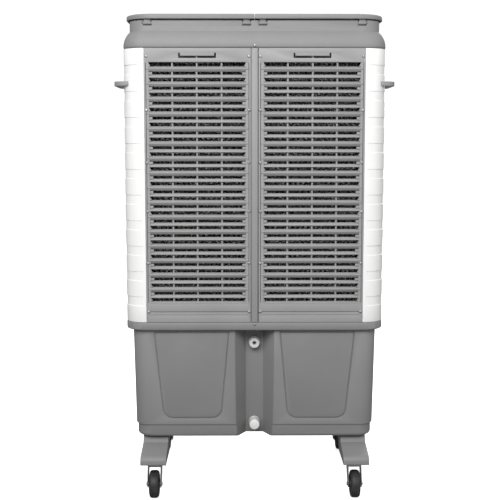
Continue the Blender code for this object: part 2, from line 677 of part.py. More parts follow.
# ---- outlet side -------------------------------------------------------------------
def make_front_panel(finish):
    front = UPPER_HALF_DEPTH
    edge = PANEL_EDGE_X - FIT
    panel = block("front_panel", (-edge, front - 0.004, DECK_TOP_Z + FIT),
                  (edge, front, PANEL_TOP_Z - FIT), finish)
    wall = OUTLET_WALL
    half = OUTLET_HALF_WIDTH
    low, high = OUTLET_Z
    duct = block("outlet_duct", (-half - wall, OUTLET_BACK_Y, low - wall),
                 (half + wall, front - 0.002, high + wall))
    join(panel, duct)
    opening = block("outlet_opening", (-half, OUTLET_BACK_Y - 0.01, low), (half, front + 0.01, high))
    cut(panel, opening)
    box_x = CONTROL_HALF[0] - CONTROL_BOX_INSET + FIT
    box_z = CONTROL_HALF[1] - CONTROL_BOX_INSET + FIT
    cut(panel, block("control_cutout", (-box_x, front - 0.01, CONTROL_Z - box_z),
                     (box_x, front + 0.01, CONTROL_Z + box_z)))
    hole = VANE_PIN_RADIUS + RUN_CLEARANCE
    for x in upright_places():
        cut(panel, rod("upright_hole", (x, UPRIGHT_Y, low - 0.01), (x, UPRIGHT_Y, high + 0.01),
                       hole, 8))
    for z in level_places():
        cut(panel, rod("level_hole", (-half - 0.01, LEVEL_Y, z), (half + 0.01, LEVEL_Y, z),
                       hole, 8))
    return panel


def upright_places():
    first = -UPRIGHT_PITCH * (UPRIGHT_VANES - 1) / 2
    return [first + UPRIGHT_PITCH * index for index in range(UPRIGHT_VANES)]


def level_places():
    middle = (OUTLET_Z[0] + OUTLET_Z[1]) / 2
    first = middle + LEVEL_PITCH * (LEVEL_VANES - 1) / 2
    return [first - LEVEL_PITCH * index for index in range(LEVEL_VANES)]


def make_upright_vane(number, x, finish):
    low = OUTLET_Z[0] + 0.004
    high = OUTLET_Z[1] - 0.012
    half = VANE_THICK / 2
    chord = UPRIGHT_CHORD / 2
    vane = block(f"upright_vane_{number}", (x - half, UPRIGHT_Y - chord, low),
                 (x + half, UPRIGHT_Y + chord, high), finish)
    wall = OUTLET_WALL - 0.001
    foot = rod("vane_foot", (x, UPRIGHT_Y, OUTLET_Z[0] - wall), (x, UPRIGHT_Y, low + 0.01),
               VANE_PIN_RADIUS, 8)
    head = rod("vane_head", (x, UPRIGHT_Y, high - 0.01), (x, UPRIGHT_Y, OUTLET_Z[1] + wall),
               VANE_PIN_RADIUS, 8)
    crank_y = UPRIGHT_Y - UPRIGHT_CRANK
    crank = rod("vane_crank", (x, crank_y, high - 0.006), (x, crank_y, high + 0.006),
                CRANK_PIN_RADIUS, 8)
    join(vane, foot, head, crank)
    return vane


def make_upright_link(finish):
    z_low = OUTLET_Z[1] - 0.012 + 0.001
    places = upright_places()
    crank_y = UPRIGHT_Y - UPRIGHT_CRANK
    link = block("upright_link_bar", (places[0] - 0.007, crank_y - LINK_WIDTH / 2, z_low),
                 (places[-1] + 0.007, crank_y + LINK_WIDTH / 2, z_low + LINK_THICK), finish)
    for x in places:
        cut(link, rod("link_hole", (x, crank_y, z_low - 0.01), (x, crank_y, z_low + 0.01),
                      CRANK_PIN_RADIUS + RUN_CLEARANCE, 8))
    return link


def make_level_vane(number, z, finish):
    low = -OUTLET_HALF_WIDTH + 0.003
    high = OUTLET_HALF_WIDTH - 0.012
    half = VANE_THICK / 2
    chord = LEVEL_CHORD / 2
    vane = block(f"level_vane_{number}", (low, LEVEL_Y - chord, z - half),
                 (high, LEVEL_Y + chord, z + half), finish)
    wall = OUTLET_WALL - 0.001
    left = rod("vane_left_pin", (-OUTLET_HALF_WIDTH - wall, LEVEL_Y, z), (low + 0.01, LEVEL_Y, z),
               VANE_PIN_RADIUS, 8)
    right = rod("vane_right_pin", (high - 0.01, LEVEL_Y, z),
                (OUTLET_HALF_WIDTH + wall, LEVEL_Y, z), VANE_PIN_RADIUS, 8)
    crank_y = LEVEL_Y - LEVEL_CRANK
    crank = rod("vane_crank", (high - 0.006, crank_y, z), (high + 0.006, crank_y, z),
                CRANK_PIN_RADIUS, 8)
    join(vane, left, right, crank)
    return vane


def make_level_link(finish):
    x_low = OUTLET_HALF_WIDTH - 0.012 + 0.001
    places = level_places()
    crank_y = LEVEL_Y - LEVEL_CRANK
    link = block("level_link_bar", (x_low, crank_y - LINK_WIDTH / 2, places[-1] - 0.007),
                 (x_low + LINK_THICK, crank_y + LINK_WIDTH / 2, places[0] + 0.007), finish)
    for z in places:
        cut(link, rod("link_hole", (x_low - 0.01, crank_y, z), (x_low + 0.01, crank_y, z),
                      CRANK_PIN_RADIUS + RUN_CLEARANCE, 8))
    return link


def make_control_panel(finish):
    front = UPPER_HALF_DEPTH + FIT
    half_x, half_z = CONTROL_HALF
    panel = block("control_panel", (-half_x, front, CONTROL_Z - half_z),
                  (half_x, front + CONTROL_THICK, CONTROL_Z + half_z), finish)
    inset = CONTROL_BOX_INSET
    rear = front - CONTROL_BOX_DEPTH
    join(panel, block("control_box", (-half_x + inset, rear, CONTROL_Z - half_z + inset),
                      (half_x - inset, front + CONTROL_THICK / 2, CONTROL_Z + half_z - inset)))
    inset += 0.002
    cut(panel, block("control_hollow", (-half_x + inset, rear - 0.01, CONTROL_Z - half_z + inset),
                     (half_x - inset, front + 0.001, CONTROL_Z + half_z - inset)))
    cut(panel, rod("knob_hole", (KNOB_X, front - 0.01, CONTROL_Z), (KNOB_X, front + 0.02, CONTROL_Z),
                   0.0045, 16))
    for x in BUTTON_X:
        half = (BUTTON_HALF[0] + FIT, BUTTON_HALF[1] + FIT)
        cut(panel, block("button_hole", (x - half[0], front - 0.01, CONTROL_Z - half[1]),
                         (x + half[0], front + 0.02, CONTROL_Z + half[1])))
    return panel


def make_button(number, x, finish):
    front = UPPER_HALF_DEPTH + FIT + CONTROL_THICK
    return block(f"push_button_{number}",
                 (x - BUTTON_HALF[0], front - CONTROL_THICK - 0.004, CONTROL_Z - BUTTON_HALF[1]),
                 (x + BUTTON_HALF[0], front + BUTTON_PROUD, CONTROL_Z + BUTTON_HALF[1]), finish)


def make_knob(finish):
    """The speed knob on its spindle; heights run along +Y from the face of the control panel."""
    face = UPPER_HALF_DEPTH + FIT + CONTROL_THICK
    profile = ((0.0, 0.017), (KNOB_RADIUS - 0.005, 0.017), (KNOB_RADIUS - 0.003, 0.015),
               (KNOB_RADIUS, 0.001), (0.004, 0.001), (0.004, -0.012), (0.0, -0.012))
    knob = turned("speed_knob", profile, 24, (KNOB_X, face, CONTROL_Z), "Y", finish)
    return knob


# ---- fan -------------------------------------------------------------------------
def make_fan_shroud(finish):
    """A bulkhead across the body with a round throat for the fan."""
    half = UPPER_HALF_WIDTH - PANEL_WALL - FIT
    back = SHROUD_BACK_Y
    shroud = block("fan_shroud", (-half, back, DECK_TOP_Z + FIT),
                   (half, back + SHROUD_WALL, PANEL_TOP_Z - FIT), finish)
    outer = SHROUD_RADIUS + SHROUD_WALL
    join(shroud, rod("throat_outside", (0, back + 0.002, FAN_Z), (0, SHROUD_FRONT_Y, FAN_Z),
                     outer, 40))
    join(shroud, rod("throat_flange", (0, SHROUD_FRONT_Y - 0.004, FAN_Z), (0, SHROUD_FRONT_Y, FAN_Z),
                     outer + SHROUD_FLANGE, 40))
    cut(shroud, rod("throat", (0, back - 0.01, FAN_Z), (0, SHROUD_FRONT_Y + 0.01, FAN_Z),
                    SHROUD_RADIUS, 40))
    return shroud


def make_fan_rotor(finish):
    """Hub, shaft and blades; the object's own Z is the fan's axis, turned to lie along +Y."""
    low, high = HUB_Y
    profile = ((0.0, 0.022), (SHAFT_RADIUS, 0.022), (SHAFT_RADIUS, high), (HUB_RADIUS, high),
               (HUB_RADIUS, low + 0.014), (HUB_RADIUS - 0.012, low), (0.0, low))
    rotor = turned("fan_rotor", profile, 16, (0, 0, FAN_Z), "Y", finish)
    for index in range(BLADE_COUNT):
        join(rotor, fan_blade(index * 2 * math.pi / BLADE_COUNT))
    return rotor


def fan_blade(turn):
    """One twisted blade, lofted from its root inside the hub to its tip."""
    bm = bmesh.new()
    rings = []
    middle_y = (HUB_Y[0] + HUB_Y[1]) / 2 + 0.003
    sections = ((HUB_RADIUS - 0.010, 0.075, 0.0), (0.125, 0.115, 0.5), (0.185, 0.145, 0.8),
                (ROTOR_RADIUS, 0.150, 1.0))
    for radius, chord, share in sections:
        pitch = BLADE_PITCH_ROOT + share * (BLADE_PITCH_TIP - BLADE_PITCH_ROOT)
        half = chord / 2
        thick = 0.0015
        ring = []
        for along, across in ((-half, -thick), (half, -thick), (half, thick), (-half, thick)):
            aside = along * math.cos(pitch) - across * math.sin(pitch)
            axial = along * math.sin(pitch) + across * math.cos(pitch)
            angle = turn + aside / max(radius, HUB_RADIUS)
            ring.append(bm.verts.new((radius * math.cos(angle), middle_y + axial * 0.55,
                                      FAN_Z + radius * math.sin(angle))))
        rings.append(ring)
    bm.faces.new(rings[0])
    bm.faces.new(list(reversed(rings[-1])))
    for inner, outer in zip(rings, rings[1:]):
        for here in range(4):
            after = (here + 1) % 4
            bm.faces.new((inner[here], outer[here], outer[after], inner[after]))
    return new_object("fan_blade", bm)


def make_motor_bracket(finish):
    """A cross of flat bars over the front of the throat, with the motor's seat in its middle."""
    y_low = SHROUD_FRONT_Y + FIT
    y_high = MOTOR_Y[0] - FIT
    reach = SHROUD_RADIUS + SHROUD_WALL + SHROUD_FLANGE - 0.004
    half = BRACKET_BAR / 2
    bracket = block("motor_bracket", (-reach, y_low, FAN_Z - half), (reach, y_high, FAN_Z + half),
                    finish)
    join(bracket, block("bracket_upright", (-half, y_low, FAN_Z - reach),
                        (half, y_high, FAN_Z + reach)))
    join(bracket, rod("bracket_seat", (0, y_low, FAN_Z), (0, y_high, FAN_Z), BRACKET_SEAT_RADIUS,
                      20))
    cut(bracket, rod("boss_hole", (0, y_low - 0.01, FAN_Z), (0, y_high + 0.01, FAN_Z),
                     BOSS_RADIUS + FIT, 20))
    return bracket


def make_fan_motor(finish):
    low, high = MOTOR_Y
    shaft_end = 0.0225
    bore = SHAFT_RADIUS + RUN_CLEARANCE
    boss_low = 0.006
    profile = ((0.0, high), (MOTOR_RADIUS - 0.010, high), (MOTOR_RADIUS, high - 0.010),
               (MOTOR_RADIUS, low + 0.004), (MOTOR_RADIUS - 0.004, low), (BOSS_RADIUS, low),
               (BOSS_RADIUS, boss_low), (bore, boss_low), (bore, shaft_end + 0.001),
               (0.0, shaft_end + 0.001))
    return turned("fan_motor", profile, 20, (0, 0, FAN_Z), "Y", finish)


# ---- water parts -------------------------------------------------------------------
def make_pump(finish):
    floor = TANK_BOTTOM_Z + TANK_WALL + FIT
    spigot = RISER_RADIUS[0] - 0.0007
    profile = ((0.0, PUMP_TOP_Z + 0.024), (spigot, PUMP_TOP_Z + 0.024), (spigot, PUMP_TOP_Z),
               (PUMP_RADIUS - 0.006, PUMP_TOP_Z), (PUMP_RADIUS - 0.002, PUMP_TOP_Z - 0.006),
               (PUMP_RADIUS - 0.002, floor + 0.022), (PUMP_RADIUS, floor + 0.020),
               (PUMP_RADIUS, floor), (0.0, floor))
    return turned("water_pump", profile, 16, (RISER_X, RISER_Y, 0), "Z", finish)


def make_riser_hose(finish):
    inner, outer = RISER_RADIUS
    low = PUMP_TOP_Z + 0.001
    high = TROUGH_Z[0] - FIT
    profile = ((inner, high), (outer, high), (outer, low), (inner, low))
    return turned("riser_hose", profile, 12, (RISER_X, RISER_Y, 0), "Z", finish, ring=True)


def make_water_trough(finish):
    low, high = TROUGH_Z
    y_low, y_high = TROUGH_Y
    half = TROUGH_HALF_WIDTH
    trough = block("water_trough", (-half, y_low, low), (half, y_high, high), finish)
    wall = TROUGH_WALL
    cut(trough, block("trough_hollow", (-half + wall, y_low + wall, low + wall),
                      (half - wall, y_high - wall, high + 0.01)))
    cut(trough, rod("trough_feed", (RISER_X, RISER_Y, low - 0.01), (RISER_X, RISER_Y, low + 0.01),
                    RISER_RADIUS[0], 12))
    return trough


def make_inlet_valve(finish):
    """Inlet spigot, wall flange and valve body; heights run along +Y."""
    stem = FITTING_STEM_RADIUS
    face = RECESS_FACE_Y
    inside = face + TANK_WALL
    back = face + 0.032
    profile = ((0.0, back), (0.011, back), (0.011, inside + FIT), (stem, inside + FIT),
               (stem, face - FIT), (0.016, face - FIT), (0.016, face - 0.005),
               (SPIGOT_RADIUS, face - 0.006), (SPIGOT_RADIUS, face - SPIGOT_LENGTH),
               (0.005, face - SPIGOT_LENGTH),
               (0.005, face - 0.010), (0.0, face - 0.010))
    valve = turned("inlet_valve", profile, 16, (0, 0, INLET_Z), "Y", finish)
    x, y, z = FLOAT_PIVOT
    lug = block("float_lug", (x - 0.010, y - 0.012, z - 0.008), (x + 0.010, y + 0.005, INLET_Z - 0.004))
    slot = block("float_slot", (x - 0.0045, y - 0.007, z - 0.02), (x + 0.0045, y + 0.02, z + 0.0062))
    hole = rod("float_pin_hole", (x - 0.02, y, z), (x + 0.02, y, z), 0.0015 + RUN_CLEARANCE, 12)
    join(valve, lug)
    cut(valve, slot, hole)
    return valve


def make_float_arm(finish):
    x, y, z = FLOAT_PIVOT
    eye = 0.0046
    arm = rod("float_arm", (x - 0.0035, y, z), (x + 0.0035, y, z), eye, 12, finish)
    pin = rod("float_pin", (x - 0.0095, y, z), (x + 0.0095, y, z), 0.0015, 8)
    along = Vector((0, math.cos(FLOAT_DROOP), -math.sin(FLOAT_DROOP)))
    pivot = Vector(FLOAT_PIVOT)
    bar = rod("float_bar", pivot + along * 0.002, pivot + along * (FLOAT_REACH - 0.01), 0.0022, 8)
    bm = bmesh.new()
    place = Matrix.Translation(pivot + along * FLOAT_REACH)
    bmesh.ops.create_uvsphere(bm, u_segments=14, v_segments=8, radius=FLOAT_RADIUS, matrix=place)
    join(arm, pin, bar, new_object("float_ball", bm))
    return arm


def make_drain_outlet(finish):
    stem = FITTING_STEM_RADIUS
    face = RECESS_FACE_Y
    inside = face + TANK_WALL
    bore = 0.0055
    profile = ((bore, inside + 0.006), (0.011, inside + 0.006), (0.011, inside + FIT),
               (stem, inside + FIT), (stem, face - FIT), (0.015, face - FIT),
               (0.015, face - 0.004), (0.0095, face - 0.004), (0.0095, face - 0.020),
               (bore, face - 0.020))
    return turned("drain_outlet", profile, 16, (0, 0, DRAIN_Z), "Y", finish, ring=True)


def make_drain_cap(finish):
    face = RECESS_FACE_Y
    inner = 0.0095 + RUN_CLEARANCE
    outer = DRAIN_CAP_RADIUS
    end = face - 0.040
    profile = ((0.0, face - 0.021), (inner, face - 0.021), (inner, face - 0.0055),
               (outer, face - 0.0055), (outer, end + 0.002), (outer - 0.002, end), (0.0, end))
    return turned("drain_cap", profile, 16, (0, 0, DRAIN_Z), "Y", finish)


# ---- legs and casters ----------------------------------------------------------------
def make_leg(name, side, end, finish):
    """A bracket leg: side is -1 or 1 across, end is -1 at the rear and 1 at the front."""
    top = TANK_BOTTOM_Z - FIT
    lip = LEG_LIP_Y
    low = LEG_BOTTOM_Z
    brow = low + LEG_LIP_HEIGHT
    profile = ((lip - 0.204, top), (lip - 0.104, top), (lip - 0.088, brow + 0.019),
               (lip - 0.006, brow + 0.0035), (lip, brow), (lip, low), (lip - 0.131, low))
    outline = [(end * y, z) for y, z in profile]
    x_low, x_high = span(side, LEG_X - LEG_HALF_WIDTH, LEG_X + LEG_HALF_WIDTH)
    leg = prism(name, outline, 0, x_low, x_high, finish)
    place = (side * LEG_X, end * SWIVEL_Y)
    cut(leg, rod("stem_hole", (*place, low - 0.01), (*place, STEM_TOP_Z + 0.002),
                 STEM_RADIUS + RUN_CLEARANCE, 10))
    return leg


def make_caster_fork(name, x, y, finish):
    low, high = FORK_CROWN_Z
    half = FORK_INNER_HALF + FORK_PLATE
    fork = block(name, (x - half, y - 0.022, low), (x + half, y + 0.018, high), finish)
    disc_radius, disc_thick = SWIVEL_DISC
    join(fork, rod("swivel_disc", (x, y, high - 0.001), (x, y, high + disc_thick), disc_radius, 14))
    join(fork, rod("swivel_stem", (x, y, high), (x, y, STEM_TOP_Z), STEM_RADIUS, 8))
    profile = ((0.018, high - 0.001), (-0.022, high - 0.001), (-0.040, 0.046), (-0.036, 0.029),
               (-0.021, 0.029), (0.004, 0.064))
    outline = [(y + along, z) for along, z in profile]
    for side in (-1, 1):
        x_low, x_high = sorted((x + side * FORK_INNER_HALF, x + side * half))
        join(fork, prism("fork_plate", outline, 0, x_low, x_high))
    axle_y = y - CASTER_TRAIL
    cut(fork, rod("axle_hole", (x - 0.03, axle_y, WHEEL_RADIUS), (x + 0.03, axle_y, WHEEL_RADIUS),
                  AXLE_RADIUS + RUN_CLEARANCE, 10))
    return fork


def make_caster_wheel(name, x, y, finish):
    """Tyre and hub in one turned ring; a corner of its outline touches the floor."""
    half = WHEEL_WIDTH / 2
    bore = AXLE_RADIUS + RUN_CLEARANCE
    round_edge = 0.005
    tyre = WHEEL_RADIUS
    profile = ((bore, half + 0.002), (0.012, half + 0.002), (0.013, half),
               (tyre - round_edge, half), (tyre, half - round_edge))
    mirrored = [(radius, -height) for radius, height in reversed(profile)]
    return turned(name, (*profile, *mirrored), WHEEL_STEPS, (x, y, WHEEL_RADIUS), "X", finish,
                  ring=True)


def make_caster_axle(name, x, y, finish):
    plate = FORK_INNER_HALF + FORK_PLATE + FIT
    profile = ((0.0, plate + 0.0025), (0.0055, plate + 0.0025), (0.0055, plate),
               (AXLE_RADIUS, plate), (AXLE_RADIUS, -plate), (0.0055, -plate),
               (0.0055, -plate - 0.0025), (0.0, -plate - 0.0025))
    return turned(name, profile, 8, (x, y, WHEEL_RADIUS), "X", finish)


def make_running_gear(plastic, zinc, rubber):
    for end, end_name in ((-1, "rear"), (1, "front")):
        for side, side_name in ((-1, "left"), (1, "right")):
            corner = f"{end_name}_{side_name}"
            x = side * LEG_X
            y = end * SWIVEL_Y
            make_leg(f"{corner}_leg", side, end, plastic)
            make_caster_fork(f"{corner}_caster_fork", x, y, zinc)
            make_caster_wheel(f"{corner}_caster_wheel", x, y - CASTER_TRAIL, rubber)
            make_caster_axle(f"{corner}_caster_axle", x, y - CASTER_TRAIL, zinc)


# ---- the whole cooler ------------------------------------------------------------------
def build():
    grey = material("grey_plastic", GREY, 0.45)
    white = material("white_plastic", WHITE, 0.35)
    light = material("light_plastic", LIGHT, 0.4)
    black = material("black_plastic", BLACK, 0.5)
    rubber = material("black_rubber", BLACK, 0.6)
    zinc = material("zinc_steel", ZINC, 0.35, 1.0)
    pad = material("cooling_pad", PAD_BROWN, 0.9)
    make_tank(grey)
    make_deck(grey)
    make_rear_frame(grey)
    make_center_post(grey)
    make_top_housing(grey)
    for side in (-1, 1):
        make_side_panel(side, white)
        make_lid(side, grey)
        make_grille(side, grey)
        make_pad(side, pad)
        make_handle(side, grey)
    make_front_panel(grey)
    for number, x in enumerate(upright_places(), 1):
        make_upright_vane(number, x, grey)
    make_upright_link(grey)
    for number, z in enumerate(level_places(), 1):
        make_level_vane(number, z, grey)
    make_level_link(grey)
    make_control_panel(black)
    make_knob(light)
    for number, x in enumerate(BUTTON_X, 1):
        make_button(number, x, light)
    make_fan_shroud(black)
    make_fan_rotor(black)
    make_motor_bracket(zinc)
    make_fan_motor(zinc)
    make_pump(black)
    make_riser_hose(light)
    make_water_trough(light)
    make_inlet_valve(light)
    make_float_arm(light)
    make_drain_outlet(light)
    make_drain_cap(light)
    make_running_gear(grey, zinc, rubber)


clear_scene()
PARTS = collection("evaporative_cooler")
CUTTERS = collection("cutters")
build()
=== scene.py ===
# %% [markdown]
# # A wheeled evaporative cooler
# The cooler is already measured: its frame is a set of exact, plain solids with joints.
# This notebook gives that frame its looks. Each visible shell is modelled again with soft
# edges, slots, ribs and grooves, rides on the same body as the plain solid it stands for,
# and gets a finish made of shader nodes.
# Solids that are already right keep their shape and only get a better finish.

# %% Load the frame
import json
import math

import bmesh
import bpy
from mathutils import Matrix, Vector

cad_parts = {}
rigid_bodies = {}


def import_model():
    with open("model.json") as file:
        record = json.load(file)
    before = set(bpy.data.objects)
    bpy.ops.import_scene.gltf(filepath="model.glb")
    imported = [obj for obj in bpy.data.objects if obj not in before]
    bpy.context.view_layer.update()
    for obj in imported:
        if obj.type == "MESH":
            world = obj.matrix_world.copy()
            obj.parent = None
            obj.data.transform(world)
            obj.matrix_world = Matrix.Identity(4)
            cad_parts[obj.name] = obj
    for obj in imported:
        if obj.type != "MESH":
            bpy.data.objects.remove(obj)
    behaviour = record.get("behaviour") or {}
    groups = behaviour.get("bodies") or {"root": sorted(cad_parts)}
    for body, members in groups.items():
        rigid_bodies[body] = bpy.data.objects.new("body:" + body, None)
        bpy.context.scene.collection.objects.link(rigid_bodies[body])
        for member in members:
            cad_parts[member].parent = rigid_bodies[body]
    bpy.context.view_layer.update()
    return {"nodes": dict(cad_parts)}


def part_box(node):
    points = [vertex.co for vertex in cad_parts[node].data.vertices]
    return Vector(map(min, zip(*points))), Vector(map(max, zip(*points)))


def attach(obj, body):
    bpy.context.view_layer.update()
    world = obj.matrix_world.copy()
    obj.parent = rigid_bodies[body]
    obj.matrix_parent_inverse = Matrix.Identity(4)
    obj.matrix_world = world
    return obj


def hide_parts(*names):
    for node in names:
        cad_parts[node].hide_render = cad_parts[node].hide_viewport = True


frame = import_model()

for stock in bpy.data.materials:
    stock.name = "frame_" + stock.name

# %% [markdown]
# ## The camera
# The cooler is seen from its intake side, from a little above the middle of its height.
# A lens of 70 mm from nearly three metres keeps the upright edges almost parallel.
# The camera could track an empty at the cooler's middle, but a plain place and turn is
# easier to read and never moves by accident.

# %% Make the camera
CAMERA_PLACE = (-0.0309, -2.8109, 0.9682)
CAMERA_TURN = (math.radians(83.612), 0.0, math.radians(-0.405))
LENS_MM = 70.05
SENSOR_MM = 36.0
bpy.ops.object.select_all(action="DESELECT")
bpy.ops.object.camera_add(location=CAMERA_PLACE, rotation=CAMERA_TURN)
camera = bpy.context.active_object
camera.data.lens = LENS_MM
camera.data.sensor_width = SENSOR_MM
bpy.context.scene.camera = camera
print("camera looks from", CAMERA_PLACE)

# %% [markdown]
# ## Hands for the bench
# Blender's operators act on whatever is selected, so every step first selects exactly
# what it means. These helpers select one thing, enter and leave edit mode, and pick faces,
# edges or corners by their place. They could be typed out each time, but short names make
# the later steps read like workshop notes.

# %% Select, name and edit
MERGE_DRAWN = 0.00001


def only(*things):
    """Selects just these objects; the last one is the active one."""
    bpy.ops.object.select_all(action="DESELECT")
    for thing in things:
        thing.select_set(True)
    bpy.context.view_layer.objects.active = things[-1]


def settle(name, size=None):
    """Names the active object and moves its place, turn and size into its mesh."""
    thing = bpy.context.active_object
    if size:
        thing.scale = size
    only(thing)
    bpy.ops.object.transform_apply(location=True, rotation=True, scale=True)
    thing.name = name
    thing.data.name = name
    return thing


def edit(thing, kind="FACE"):
    """Enters edit mode with everything selected."""
    only(thing)
    bpy.ops.object.mode_set(mode="EDIT")
    bpy.ops.mesh.select_mode(type=kind)
    bpy.ops.mesh.select_all(action="SELECT")


def leave():
    bpy.ops.object.mode_set(mode="OBJECT")


def pick(thing, kind, test):
    """In edit mode, selects the faces, edges or corners whose middle passes the test."""
    bpy.ops.mesh.select_mode(type=kind)
    bpy.ops.mesh.select_all(action="DESELECT")
    mesh = bmesh.from_edit_mesh(thing.data)
    items = {"FACE": mesh.faces, "EDGE": mesh.edges, "VERT": mesh.verts}[kind]
    for item in items:
        corners = [item.co] if kind == "VERT" else [corner.co for corner in item.verts]
        if test(sum(corners, Vector()) / len(corners), item):
            item.select_set(True)
    mesh.select_flush_mode()
    bmesh.update_edit_mesh(thing.data)


def span(edge, axis):
    """How far an edge runs along an axis."""
    return abs(edge.verts[0].co[axis] - edge.verts[1].co[axis])


def point_outwards(thing):
    """Merges doubled corners and turns every face to the outside."""
    edit(thing)
    bpy.ops.mesh.remove_doubles(threshold=MERGE_DRAWN)
    bpy.ops.mesh.normals_make_consistent(inside=False)
    leave()
    return thing


print("bench helpers: select, name, edit, pick and merge")

# %% [markdown]
# ## Starting shapes
# Most pieces of the cooler start as a box between two corners, a round bar, or a stack of
# rounded outlines. A mesh could be typed in as a list of coordinates, but a primitive that
# is shaped in edit mode leaves steps that can be read and changed. The stack bevels a
# plane's corners and extrudes it level by level, which suits mouldings with a soft plan.

# %% Box, rod and rounded stack
X, Y, Z = 0, 1, 2


def box(name, low, high):
    low, high = Vector(low), Vector(high)
    bpy.ops.object.select_all(action="DESELECT")
    bpy.ops.mesh.primitive_cube_add(size=1, location=(low + high) / 2, scale=high - low)
    return settle(name)


def rod(name, start, end, radius, steps=24):
    start, end = Vector(start), Vector(end)
    turn = (end - start).to_track_quat("Z", "Y").to_euler()
    bpy.ops.object.select_all(action="DESELECT")
    bpy.ops.mesh.primitive_cylinder_add(vertices=steps, radius=radius, rotation=turn,
                                        depth=(end - start).length, location=(start + end) / 2)
    return settle(name)


def stack(name, corner, levels, segments=12):
    """A rounded outline raised level by level; a level is (height, half width, half depth)."""
    height, wide, deep = levels[0]
    bpy.ops.object.select_all(action="DESELECT")
    bpy.ops.mesh.primitive_plane_add(size=2, location=(0, 0, height))
    thing = settle(name, (wide, deep, 1))
    edit(thing, "VERT")
    bpy.ops.mesh.bevel(offset=corner, segments=segments, affect="VERTICES")
    bpy.ops.mesh.select_mode(type="FACE")
    bpy.ops.mesh.select_all(action="SELECT")
    for next_height, next_wide, next_deep in levels[1:]:
        rise = {"value": (0, 0, next_height - height)}
        bpy.ops.mesh.extrude_region_move(TRANSFORM_OT_translate=rise)
        bpy.ops.transform.resize(value=(next_wide / wide, next_deep / deep, 1),
                                 center_override=(0, 0, next_height))
        height, wide, deep = next_height, next_wide, next_deep
    bpy.ops.mesh.select_all(action="SELECT")
    bpy.ops.mesh.normals_make_consistent(inside=False)
    leave()
    return thing


print("starting shapes: box, rod and stack")

# %% [markdown]
# ## Sections and spun profiles
# Blades, legs and the post have one section all along; wheels, spigots and knobs are round.
# Both kinds start from a drawn line: one vertex is pulled from place to place. A bar fills
# the line and pulls it along an axis; a turned piece spins it, as a lathe would. Cutting
# such shapes out of boxes would also work, but it takes more steps and leaves thin faces.

# %% Drawn outlines and spun profiles
def draw(name, points):
    """A line of edges, drawn by pulling one vertex from place to place; stays in edit mode."""
    points = [Vector(point) for point in points]
    bpy.ops.object.select_all(action="DESELECT")
    bpy.ops.mesh.primitive_plane_add(size=0.001)
    thing = settle(name)
    edit(thing, "VERT")
    bpy.ops.mesh.merge(type="CENTER")
    bpy.ops.transform.translate(value=points[0])
    for here, after in zip(points, points[1:]):
        bpy.ops.mesh.extrude_vertices_move(TRANSFORM_OT_translate={"value": after - here})
    bpy.ops.mesh.select_all(action="SELECT")
    return thing


def bar(name, outline, axis, low, high):
    """An outline in the two other directions, in order, pulled along an axis."""
    points = []
    for first, second in outline:
        place = [first, second]
        place.insert(axis, low)
        points.append(place)
    thing = draw(name, points)
    bpy.ops.mesh.edge_face_add()
    pull = [0.0, 0.0, 0.0]
    pull[axis] = high - low
    bpy.ops.mesh.extrude_region_move(TRANSFORM_OT_translate={"value": pull})
    leave()
    return point_outwards(thing)


def turned(name, profile, place, axis, steps):
    """A profile of (radius, height) spun round; heights run along +Z, +Y or +X."""
    thing = draw(name, [(radius, 0, height) for radius, height in profile])
    bpy.ops.mesh.spin(steps=steps, angle=2 * math.pi, center=(0, 0, 0), axis=(0, 0, 1))
    leave()
    point_outwards(thing)
    thing.rotation_euler = {Z: (0, 0, 0), Y: (-math.pi / 2, 0, 0), X: (0, math.pi / 2, 0)}[axis]
    thing.location = place
    only(thing)
    return settle(name)


print("drawn shapes: bar and turned")

# %% [markdown]
# ## Working a shape
# Real mouldings have no razor edges, so `soften` bevels every sharp edge by a millimetre
# or so and smooths the shading between. `cut` and `fuse` are the saw and the glue. The
# modifiers could stay live, but applying each at once keeps every later step working on
# the real mesh.

# %% Cut, fuse and soften
MERGE_CUT = 0.00002
FLAT = math.radians(0.5)
PAST = 0.01


def apply(thing, kind, **settings):
    only(thing)
    change = thing.modifiers.new(kind.lower(), kind)
    for key, value in settings.items():
        setattr(change, key, value)
    bpy.ops.object.modifier_apply(modifier=change.name)
    return thing


def cut(thing, *tools, operation="DIFFERENCE"):
    for tool in tools:
        apply(thing, "BOOLEAN", object=tool, operation=operation, solver="MANIFOLD")
        bpy.data.objects.remove(tool)
    return thing


def fuse(thing, *tools):
    return cut(thing, *tools, operation="UNION")


def soften(thing, width=0.001, segments=2, angle=32, whole_faces=True):
    """Rounds the sharp edges; flat neighbours are first merged into whole faces."""
    edit(thing)
    bpy.ops.mesh.remove_doubles(threshold=MERGE_CUT)
    if whole_faces:
        bpy.ops.mesh.dissolve_limited(angle_limit=FLAT)
    leave()
    apply(thing, "BEVEL", width=width, segments=segments, limit_method="ANGLE",
          angle_limit=math.radians(angle), miter_outer="MITER_ARC")
    return smooth(thing)


def smooth(thing, angle=38):
    only(thing)
    bpy.ops.object.shade_smooth_by_angle(angle=math.radians(angle))
    return thing


print("workshop: a cutter runs", PAST, "m past the face it leaves by")

# %% [markdown]
# ## Copies and frame solids
# What repeats is modelled once and copied, and the cooler's left side mirrors its right.
# A Mirror modifier would make one object of both, but the two sides are separate pieces.
# `welded` takes a frame solid's loose triangles and pairs them into four-sided faces, for
# the pieces whose plain shape only needs softer edges.

# %% Join, copy and weld
MERGE_FRAME = 0.000005
ANY_SHAPE = math.radians(170)


def together(name, things):
    only(*things)
    bpy.ops.object.join()
    return settle(name)


